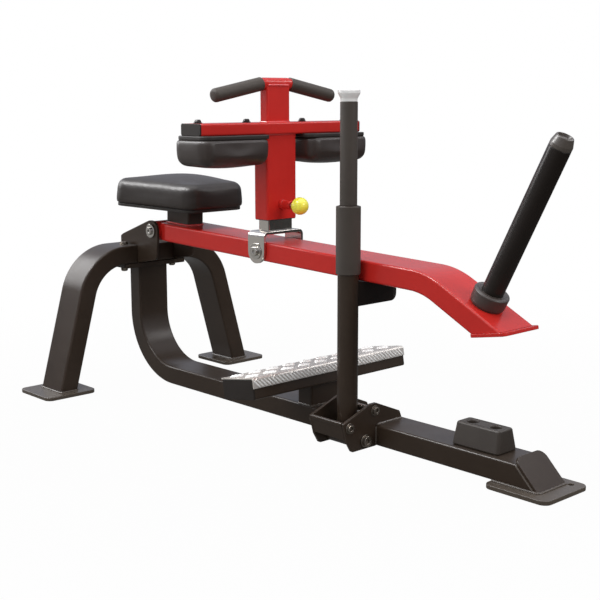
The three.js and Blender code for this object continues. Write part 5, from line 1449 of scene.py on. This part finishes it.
@dataclass
class Arm(SubAssembly):
    """The red lever arm: its barrel, its bent box tube and the plate that closes its end."""

    body: str = "arm"
    pivot: Corner = (124, 458)
    fall: float = 1.75
    tube: BoxTube = BoxTube(50, 120, 4, 6)
    start: float = 54
    corner: float = 1027.6
    drop: float = 25
    bend: float = 190
    end_along: float = 166.4
    end_rise: float = 11.95
    end_plate: Corner = (98, 130, 8, 12)
    barrel: Corner = (19.8, 28, 60)

    @property
    def place(self) -> Array:
        """The arm's own place: its x runs ahead from the pivot along the tube."""
        return at(self.pivot[0], 0, self.pivot[1], fall=self.fall)

    def on_tail(self, along: float, up: float) -> Array:
        """A point of the falling stretch, as (x, z) in the arm's place."""
        a = math.radians(self.drop)
        return np.array([self.corner + along * math.cos(a) + up * math.sin(a),
                         -along * math.sin(a) + up * math.cos(a)])

    def build(self, frame: dict) -> None:
        """The tube with its barrel and neck, the bushings' finish and the end plate."""
        end = self.on_tail(self.end_along, -self.tube.depth / 2)
        tail = self.on_tail(self.end_along + 40, 0)
        turn = math.radians(self.end_rise)
        cut = Cut(end[0] + GAP * math.sin(turn), end[1] - GAP * math.cos(turn), self.end_rise)
        run = [(self.start, 0), (self.corner, 0), tuple(tail)]
        tube = self.tube.along(run, self.bend, end=cut)
        bore, outside, half = self.barrel
        barrel = turned([(bore, -half), (outside, -half), (outside, half), (bore, half)], 1)
        neck = plate(rounded([(21, -24.8), (57, -24.8), (57, 24.8), (21, 24.8)], 2, 3), -52, 52, 1.5)
        arm = joined(tube, barrel, neck).to(Drawn.ALONG_Y.place, self.place)
        self.dress("arm_dressed", arm, GLOSS_RED, "arm_tube")
        self.keep(frame, BRONZE, "pivot_bushing_left", "pivot_bushing_right")
        length, width, thick, corner = self.end_plate
        lid = plate(rectangle(length, width, corner, 8) + (length / 2, 0), -GAP - thick, -GAP, 1.2)
        place = at(end[0], 0, end[1], fall=-self.end_rise)
        self.dress("arm_end_dressed", lid.to(place, self.place), GLOSS_RED, "arm_end_plate")


@dataclass
class Horn(SubAssembly):
    """The bar that weight plates slide on, its stop collar and its cap."""

    body: str = "arm"
    arm: Arm = field(default_factory=Arm)
    along: float = 139
    up: float = 25.3
    radius: float = 25
    wall: float = 4
    length: float = 390
    cap: tuple = ((-25, -20), (-4.3, -20), (-4.3, GAP), (-0.6, GAP, 0.4), (0, 2, 1), (-0.2, 9, 5),
                  (-5.5, 26, 3), (-9, 27, 1.4), (-11.5, 20, 1.5), (-19.5, 19, 1), (-20.5, 23, 1),
                  (-25, 23))
    collar: tuple = ((0.4, GAP), (12.5, GAP, 1), (15, 6, 3), (16, 33, 3), (11, 36, 2.5),
                     (7, 34.8, 2), (0.4, 34.4))

    def build(self) -> None:
        """The bar, the cap on its end and the collar at its foot."""
        x, z = self.arm.on_tail(self.along, self.up)
        place = at(x, 0, z, fall=self.arm.drop)
        r, top = self.radius, self.length
        bar = [(r - self.wall, 0), (r, 0, 0.5), (r, top, 0.8), (r - self.wall, top, 0.5)]
        cap, collar = offset(self.cap, r, top), offset(self.collar, r, 0)
        for name, profile, finish, node, sharp in (
                ("horn_dressed", bar, SATIN_BLACK, "weight_horn", 30),
                ("horn_cap_dressed", cap, HORN_PLASTIC, "horn_cap", 50),
                ("horn_collar_dressed", collar, COLLAR_RUBBER, "horn_collar", 40)):
            form = turned(profile, steps=96).to(place, self.arm.place)
            self.dress(name, form, finish, node, sharp=sharp)


@dataclass
class Seat(SubAssembly):
    """The seat cushion on its plate and short post."""

    body: str = "arm"
    arm: Arm = field(default_factory=Arm)
    ahead: float = 70
    post: BoxTube = BoxTube(105, 54)
    post_span: Corner = (25.3, 67.3)
    base: float = 73.9
    board: float = 8
    length: float = 312
    rear: float = 318
    front: float = 198
    corner: float = 42
    shift: float = 1
    thickness: float = 77
    crown: float = 14

    def outline(self, less: float) -> tuple:
        """The cushion's outline: wide behind and narrow ahead, drawn in by a distance."""
        x, r, f = self.length / 2 - less, self.rear / 2 - less, self.front / 2 - less
        turn = self.corner - less
        return ((-x, -r, turn), (x, -f, turn), (x, f, turn), (-x, r, turn))

    def build(self, frame: dict) -> None:
        """The post and its bead, the base board and the cushion. The steel plate keeps its solid."""
        low, high = self.post_span
        post = self.post.along([(self.ahead, low), (self.ahead, high)]).to(Drawn.ALONG_Y.place)
        self.dress("seat_post_dressed", post.to(self.arm.place), POWDER, "seat_post")
        root = self.post.root(self.ahead, low + 0.2, 2.6).to(self.arm.place)
        self.dress("seat_post_welds", root, RED_WELD_PAINTED_HIGHLIGHT)
        self.keep(frame, SATIN_BLACK, "seat_plate")
        place = at(self.ahead + self.shift, 0, self.base)
        board = plate(rounded(self.outline(6), steps=12), 0, self.board, 1)
        self.dress("seat_board", board.to(place, self.arm.place), PLASTIC)
        thick = self.thickness - self.board - 3
        pad = Padding(self.outline(0.5), thick, self.crown, top_round=24, base_round=7, draw_in=3,
                      swell=4)
        cushion = pad.sewn("seat_cushion_sewn", at(z=self.board), place, self.arm.place)
        self.dress("seat_cushion_sewn", cushion, VINYL, "seat_cushion", sharp=180)


@dataclass
class KneePost(SubAssembly):
    """The chromed saddle that tilts on the arm, and the inner post that stands on it."""

    body: str = "knee_post"
    foot: Corner = (588.08, 443.82)
    inside: float = 61
    thickness: float = 8
    under: float = 43.4
    outer_bend: float = 14
    half_length: float = 32
    bolt: SocketBolt = SocketBolt(8, 21, 3.2, 12, 10.3, 5, 4, rim=0.5)

    @property
    def place(self) -> Array:
        """The saddle's own place, about the bolt that it tilts on."""
        return at(self.foot[0], 0, self.foot[1])

    def build(self, frame: dict) -> None:
        """The saddle, the bolt through it, which stays with the arm, and the inner post."""
        self.dress("saddle_dressed", self.saddle().to(self.place), CHROME, "saddle_bracket", sharp=50)
        outside = self.inside + self.thickness
        half = joined(self.bolt.headed(outside), disc(self.bolt.shank, -1, outside + 1))
        bolt = half.to(Drawn.ALONG_Y.place, self.place).sides()
        ArmFastener().dress("saddle_bolt_dressed", bolt, ZINC, "saddle_bolt", sharp=30)
        post = self.copy(frame, "inner_post", "inner_post_dressed")
        self.dress("inner_post_dressed", post, CHROME, "inner_post")

    def saddle(self) -> Shape:
        """A strip bent over the arm, narrowed to round lugs: its half width is r sin t at a height
        of -r cos t below the bolt, and r above it.
        """
        middle = self.inside + self.thickness / 2
        top = self.under + self.thickness / 2
        bend = self.outer_bend - self.thickness / 2
        corners = [(-middle, 0), (-middle, top), (middle, top), (middle, 0)]
        points, lefts = bent_run(corners, bend, 6)
        count = 13
        angle = np.linspace(0, math.pi / 2, count + 1)[1:]
        low = np.stack([np.full(count, -middle), -self.half_length * np.cos(angle)], 1)
        high = low[::-1] * (-1, 1)
        points = np.concatenate([low[:-1], points, high[1:]])
        lefts = np.concatenate([np.repeat(lefts[:1], count - 1, 0), lefts,
                                np.repeat(lefts[-1:], count - 1, 0)])
        lug = np.sin(angle[:-1])
        widths = np.concatenate([lug, np.ones(len(points) - 2 * len(lug)), lug[::-1]])
        corner = rectangle(self.thickness, 2 * self.half_length, 1.2, 3)
        rows = swept(corner, points, lefts)
        rows[..., 2] *= widths[:, None]
        return grid(rows).to(Drawn.ALONG_X.place)


@dataclass
class ArmFastener(SubAssembly):
    """A fastener that goes through the arm and stays with it."""

    body: str = "arm"


@dataclass
class Carriage(SubAssembly):
    """The red sleeve that slides on the inner post, with the knee pads and the handles."""

    body: str = "carriage"
    ahead: float = 588.08
    sleeve: BoxTube = BoxTube(52, 102)
    sleeve_span: Corner = (525, 744.2)
    bar: BoxTube = BoxTube(77, 30, 3, 5)
    bar_middle: float = 759.5
    bar_end: float = 275
    cap: float = 4
    plug: Corner = (14, 1, 2)
    pad_shift: float = 2
    pad_middle: float = 171
    board: Corner = (128, 216, 28)
    board_low: float = 734.2
    board_thickness: float = 10
    pad: Corner = (140, 228, 34)
    pad_top: float = 733.9
    pad_thickness: float = 63.5
    pad_crown: float = 4
    post: BoxTube = BoxTube(30, 78, 3, 5)
    bolts: Corner = (96, 251)
    bolt_back: float = 1
    handle_radius: float = 15
    handle_bend: float = 40
    handle_top: float = 872
    handle_flat: float = 42
    handle_reach: float = 196
    handle_fall: float = 11
    grip_radius: float = 17.5
    grip_start: float = 48
    grip_length: float = 158.7

    @property
    def bar_top(self) -> float:
        """The height of what stands on the crossbar."""
        return self.bar_middle + self.bar.width / 2 + GAP

    def build(self, frame: dict) -> None:
        """The sleeve, the crossbar with its caps, the boards, the pads and the handles."""
        way = [(self.ahead, z) for z in self.sleeve_span]
        sleeve = self.sleeve.along(way).to(Drawn.ALONG_Y.place)
        self.dress("sleeve_dressed", sleeve, GLOSS_RED, "outer_sleeve")
        self.keep(frame, PLASTIC, "sleeve_liner")
        end = self.bar_end - self.cap - GAP
        bar = self.bar.along([(self.ahead, -end), (self.ahead, end)])
        self.dress("crossbar_dressed", bar.to(at(z=self.bar_middle)), GLOSS_RED, "crossbar")
        self.pair("crossbar_cap_{}_dressed", "right", self.bar.cap(self.bar_end, self.cap, self.plug),
                  CAP_PLASTIC, "crossbar_cap_{}", at(self.ahead, 0, self.bar_middle))
        self.dress("crossbar_welds", self.welds(), RED_WELD_PAINTED_HIGHLIGHT)
        self.pads()
        self.handles()

    def welds(self) -> Shape:
        """Beads where the sleeve meets the crossbar, and the crossbar the upper post."""
        low = self.bar_middle - self.bar.width / 2 - 0.3
        return joined(self.sleeve.root(self.ahead, low, 2.2),
                      self.post.root(self.ahead, self.bar_top, 2.4, corner=6))

    def bolt_pair(self) -> Shape:
        """The bolts of the left board, through the crossbar."""
        low, top = self.board_low + 5, self.bar_top
        head = turned([(0, top + 2), (8.5, top + 2), (8.5, top + 5, 1), (6, top + 9, 2), (0, top + 9)])
        bolt = joined(disc(4, low, top + 5), disc(11, top, top + 2, 0.5), head)
        return joined(*(bolt.to(at(self.ahead - self.bolt_back, y)) for y in self.bolts))

    def pads(self) -> None:
        """On each side a moulded board, its two bolts and a pad hung under it."""
        width, length, corner = self.board
        low, high = self.board_low, self.board_low + self.board_thickness
        slab = plate(rectangle(width, length, corner, 10), low, high, 2)
        x, y, turn = self.pad[0] / 2 - 2, self.pad[1] / 2 - 1, self.pad[2] - 2
        outline = ((-x, 10 - y, turn), (x, 10 - y, turn), (x, y, turn), (-x, y, turn))
        form = Padding(outline, self.pad_thickness, self.pad_crown, top_round=27, base_round=3.5,
                       draw_in=2.5, swell=5)
        hang = at(z=self.pad_top) @ np.diag([1.0, 1, -1, 1])
        bolts = self.bolt_pair()
        for side, sign in SIDES:
            spot = at(self.ahead + self.pad_shift, sign * self.pad_middle)
            self.dress(f"pad_board_{side}_dressed", slab.to(spot), PLASTIC, f"pad_board_{side}")
            pair = bolts if sign > 0 else bolts.mirrored()
            self.dress(f"pad_bolts_{side}", pair, SATIN_BLACK, sharp=30)
            cushion = form.sewn(f"knee_pad_{side}_sewn", hang @ np.diag([1.0, sign, 1, 1]), spot)
            cleaned(cushion.data)
            # Painted light: the pads' vinyl is a lighter copy of the seat's.
            self.dress(f"knee_pad_{side}_sewn", cushion, PAD_VINYL_PAINTED_LIGHT, f"knee_pad_{side}", sharp=180)

    def handles(self) -> None:
        """The upper post, the bent handlebar over it and the grips."""
        top, flat = self.handle_top, self.handle_flat
        post = self.post.along([(self.ahead, self.bar_top), (self.ahead, top - 1.5)])
        self.dress("upper_post_dressed", post.to(Drawn.ALONG_Y.place), GLOSS_RED, "upper_post")
        fall = math.tan(math.radians(self.handle_fall))
        end = top - (self.handle_reach - flat) * fall
        run = [(-self.handle_reach, end), (-flat, top), (flat, top), (self.handle_reach, end)]
        bar = grid(swept(ring(self.handle_radius, steps=40), *bent_run(run, self.handle_bend)))
        joint = open_bead(2.6, (15.2, -37, top - 4), (15.2, 37, top - 4))
        self.dress("handlebar_dressed", bar.to(Drawn.ALONG_X.place, at(self.ahead)), GLOSS_RED,
                   "handlebar")
        joints = joined(joint, joint.mirrored((-1, 1, 1))).to(at(self.ahead))
        self.dress("handlebar_welds", joints, RED_WELD_PAINTED_HIGHLIGHT)
        r, length, start = self.grip_radius, self.grip_length, self.grip_start
        grip = turned([(0, 0), (r, 0, 1.5), (r, length, 9), (0, length)])
        place = at(self.ahead, start, top - (start - flat) * fall, lean=-90 - self.handle_fall)
        self.pair("grip_{}_dressed", "left", grip.to(place), GRIP_RUBBER, "grip_{}")


@dataclass
class PullPin(SubAssembly):
    """The sprung pin that holds the sleeve's height, and its ball."""

    body: str = "pin"
    face: Corner = (614.08, 563)
    housing: tuple = ((6, GAP), (13, GAP, 0.5), (13, 8, 1), (11.5, 10, 0.5), (11.5, 34, 1.5),
                      (9, 36.3, 1), (6, 36.3))
    stem: tuple = ((5, -5.5, 30), (4, 28, 63), (7.9, 38, 43, 0.8))
    ball: float = 22.5
    ball_ahead: float = 68
    ball_flat: float = 20.2
    ball_bore: float = 8

    def build(self) -> None:
        """The housing, which stays with the sleeve, then the stem with its ball."""
        places = Drawn.ALONG_X.place, at(self.face[0], 0, self.face[1])
        housing = turned(self.housing).to(*places)
        Carriage().dress("pin_housing_dressed", housing, GLOSS_RED, "plunger_housing")
        stem = joined(*(disc(*part) for part in self.stem)).to(*places)
        self.dress("pin_dressed", stem, ZINC, "plunger_pin", sharp=30)
        angle = np.linspace(math.pi - math.acos(self.ball_flat / self.ball), 0, 40)
        arc = np.stack([self.ball * np.sin(angle), self.ball_ahead + self.ball * np.cos(angle)], 1)
        profile = np.concatenate([[(0, arc[0, 1]), (self.ball_bore, arc[0, 1])], arc])
        self.dress("ball_dressed", turned(profile).to(*places), YELLOW, "ball_knob")


@dataclass
class HandLever(SubAssembly):
    """The hand lever with its grip, its chromed cup and the catch that holds the arm."""

    body: str = "lever"
    foot: Corner = (946.04, -90, 31)
    clear_of_bolt: float = 10.6
    radius: float = 25
    core: float = 17
    shoulder: float = 588
    top: float = 832
    barrel: Corner = (10.4, 22, 50.5)
    guard: Corner = (29.3, 426.5, 586.5)
    grip: Corner = (20.5, 588.3, 827)
    cup: tuple = ((17.3, 827.3), (19.4, 827.3, 0.5), (19.8, 834, 3), (26, 846, 3), (26, 853.3, 1.1),
                  (23.4, 853.3, 1.1), (22.6, 847.5, 2), (16, 837.5, 2), (0, 836.5), (0, 832.3),
                  (17.3, 832.3))

    def build(self, frame: dict) -> None:
        """The tube on its barrel, the guard, the grip, the cup and the catch."""
        x, y, z = self.foot
        r, c, low, end = self.radius, self.core, z + self.clear_of_bolt, self.top - 1
        tube = turned([(0, low), (r, low), (r, self.shoulder, 2), (c, self.shoulder), (c, end),
                       (0, end)], steps=96)
        bore, outside, half = self.barrel
        barrel = turned([(bore, -half), (outside, -half), (outside, half), (bore, half)], 1)
        lever = joined(tube.to(at(x, y)), barrel.to(Drawn.ALONG_X.place, at(x, y, z)))
        self.dress("lever_dressed", lever, POWDER, "lever_tube")
        for name, node, inner, (out, low, high), turn in (
                ("guard_dressed", "guard_sleeve", r, self.guard, 1.4),
                ("lever_grip_dressed", "lever_grip", c, self.grip, 1.2)):
            inner += GAP
            sleeve = turned([(inner, low), (out, low), (out, high), (inner, high)], turn, steps=96)
            self.dress(name, sleeve.to(at(x, y)), GRIP_RUBBER, node)
        cup = turned(self.cup, steps=96).to(at(x, y))
        # Painted reflection: the cup is near-white paint for the studio that it mirrors.
        self.dress("lever_cup_dressed", cup, CUP_PAINTED_REFLECTION, "lever_cap", sharp=60)
        for name, node, finish in (("catch_dressed", "catch_bar", SATIN_BLACK),
                                   ("catch_cap_dressed", "catch_cap", PLASTIC)):
            self.dress(name, soften(self.copy(frame, node, name), 1.2), finish, node)


class Shows(Enum):
    """What a lamp does: whether it lights surfaces, and whether gloss mirrors it."""

    BOTH = (True, True)
    FILL = (True, False)
    SHINE = (False, True)


@dataclass(frozen=True)
class Lamp:
    """A square area lamp that looks at a point: places and size in metres, power in watts."""

    name: str
    place: Corner
    target: Corner
    size: float
    power: float
    shows: Shows = Shows.BOTH

    def hang(self) -> None:
        """Puts the lamp into the scene."""
        data = bpy.data.lights.new(self.name, "AREA")
        data.energy, data.size = self.power, self.size
        made = linked(self.name, data)
        made.visible_diffuse, made.visible_glossy = self.shows.value
        way = Vector(self.place) - Vector(self.target)
        turn = way.to_track_quat("Z", "Y").to_matrix().to_4x4()
        made.matrix_world = Matrix.Translation(self.place) @ turn


@dataclass(frozen=True)
class Studio:
    """The floor, the lamps and the camera."""

    eye: tuple = (2.0918, -1.9727, 0.8344)
    azimuth: float = 47.10
    elevation: float = 10.07
    roll: float = -0.09
    lens: float = 68.07
    shift: Corner = (-0.00218, -0.00025)
    bright_way: Corner = (-0.73, -0.68, 0)
    floor_half: float = 30.0
    floor_level: float = 0.22
    floor_gloss: Corner = (0.04, 0.4)
    sky_level: float = 0.42
    sky_gloss: Corner = (0.32, 0.75)
    sky_tint: Corner = (0.9, 0.94, 1.08, 1)
    lamps: tuple = (
        Lamp("overhead_lamp", (0.1, -0.1, 3.2), (0, 0, 0.3), 3.2, 56),
        Lamp("right_lamp", (0.0, -3.6, 1.9), (0, 0, 0.4), 2.2, 38, Shows.FILL),
        Lamp("rear_right_lamp", (-3.4, -2.1, 0.9), (-0.4, 0, 0.4), 2.2, 26, Shows.FILL),
        Lamp("front_lamp", (3.6, 0.9, 2.2), (0, 0, 0.4), 1.8, 45),
        Lamp("edge_shine", (-1.7, -1.6, 2.6), (0, 0, 0.4), 1.0, 90, Shows.SHINE),
        Lamp("tail_shine", (-0.3, -1.6, 2.7), (0.3, 0, 0.4), 0.5, 50, Shows.SHINE),
        Lamp("right_shine", (-3.0, -1.0, 1.7), (-0.6, -0.2, 0.3), 1.8, 52, Shows.SHINE),
        Lamp("left_shine", (1.2, 1.95, 2.25), (-0.5, 0, 0.1), 0.8, 13, Shows.SHINE),
    )

    def build(self) -> None:
        """Everything that isn't the machine."""
        self.camera()
        self.floor()
        self.world()
        for lamp in self.lamps:
            lamp.hang()

    def camera(self) -> None:
        """The camera: back = (sin a cos e, -cos a cos e, sin e), right = (cos a, sin a, 0)."""
        a, e, r = (math.radians(v) for v in (self.azimuth, self.elevation, self.roll))
        back = np.array([math.sin(a) * math.cos(e), -math.cos(a) * math.cos(e), math.sin(e)])
        right = np.array([math.cos(a), math.sin(a), 0])
        up = np.cross(back, right)
        tall, wide = up * math.cos(r) - right * math.sin(r), right * math.cos(r) + up * math.sin(r)
        turn = Matrix(np.stack([wide, tall, back], 1).tolist()).to_4x4()
        data = bpy.data.cameras.new("studio_camera")
        data.lens, data.sensor_width = self.lens, 36
        data.shift_x, data.shift_y = self.shift
        made = linked("studio_camera", data)
        made.matrix_world = Matrix.Translation(self.eye) @ turn
        bpy.context.scene.camera = made

    def floor(self) -> None:
        """A wide pale floor, which looks white to the camera and ever whiter further out, apart
        from the machine's shadow on it.
        """
        mesh = bpy.data.meshes.new("studio_floor")
        far = self.floor_half
        mesh.from_pydata([(-far, -far, 0), (far, -far, 0), (far, far, 0), (-far, far, 0)], [],
                         [(0, 1, 2, 3)])
        made = linked("studio_floor", mesh)
        material = bpy.data.materials.new("pale_floor")
        material.use_nodes = True
        wiring = Wiring(material.node_tree)
        shader = material.node_tree.nodes["Principled BSDF"]
        wiring.give(shader, {"Base Color": (*[self.floor_level] * 3, 1), "Roughness": 0.8,
                             "Specular IOR Level": 0.1})
        path = wiring.add("ShaderNodeLightPath").outputs
        where = wiring.place()
        away = wiring.add("ShaderNodeVectorMath", {0: where}, operation="LENGTH").outputs["Value"]
        towards = wiring.add("ShaderNodeVectorMath", {0: where, 1: self.bright_way},
                             operation="DOT_PRODUCT").outputs["Value"]
        mirrored = wiring.span(towards, -1.5, 1.5, *self.floor_gloss)
        level = wiring.span(path["Is Glossy Ray"], 0.0, 1.0, 1.0, mirrored)
        shade = wiring.add("ShaderNodeCombineColor", {0: level, 1: level, 2: level}).outputs[0]
        glow = wiring.add("ShaderNodeEmission", {"Color": shade, "Strength": 1.0})
        white = wiring.product(path["Is Camera Ray"], wiring.span(away, 0.7, 2.0, 0.98, 1.0))
        share = wiring.sum("ADD", white, path["Is Glossy Ray"])
        mixed = wiring.add("ShaderNodeMixShader", {0: share, 1: shader.outputs[0], 2: glow.outputs[0]})
        wiring.give(material.node_tree.nodes["Material Output"], {"Surface": mixed.outputs[0]})
        mesh.materials.append(material)

    def world(self) -> None:
        """A white studio to the camera, a plain soft level for the rest, and in gloss a studio
        that is bright overhead and darker towards the horizon.
        """
        made = bpy.data.worlds.new("white_studio")
        bpy.context.scene.world = made
        made.use_nodes = True
        wiring = Wiring(made.node_tree)
        path = wiring.add("ShaderNodeLightPath").outputs
        way = wiring.add("ShaderNodeTexCoord").outputs["Generated"]
        height = wiring.add("ShaderNodeSeparateXYZ", {0: way}).outputs["Z"]
        gloss = wiring.span(height, 0.0, 0.6, *self.sky_gloss)
        seen = wiring.sum("MAXIMUM", path["Is Camera Ray"], path["Is Transmission Ray"])
        level = wiring.span(path["Is Glossy Ray"], 0.0, 1.0, self.sky_level, gloss)
        wiring.give(made.node_tree.nodes["Background"], {
            "Color": wiring.blend(path["Is Glossy Ray"], (1, 1, 1, 1), self.sky_tint),
            "Strength": wiring.sum("MAXIMUM", seen, level),
        })


def main(frame: dict) -> None:
    """Builds the machine's sub-assemblies in order, then the studio round them.

    Args:
        frame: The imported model.
    """
    Studio().build()
    Feet().build()
    RearArch().build(frame)
    Beam().build()
    ArmPivot().build()
    Platform().build()
    Bumper().build()
    LeverBracket().build()
    Arm().build(frame)
    Horn().build()
    Seat().build(frame)
    KneePost().build(frame)
    Carriage().build(frame)
    PullPin().build()
    HandLever().build(frame)


if __name__ == "__main__":
    logging.basicConfig(level=logging.INFO, format="%(message)s", stream=sys.stdout)
    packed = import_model()
    bpy.context.scene.view_settings.view_transform = "Standard"
    main(packed)
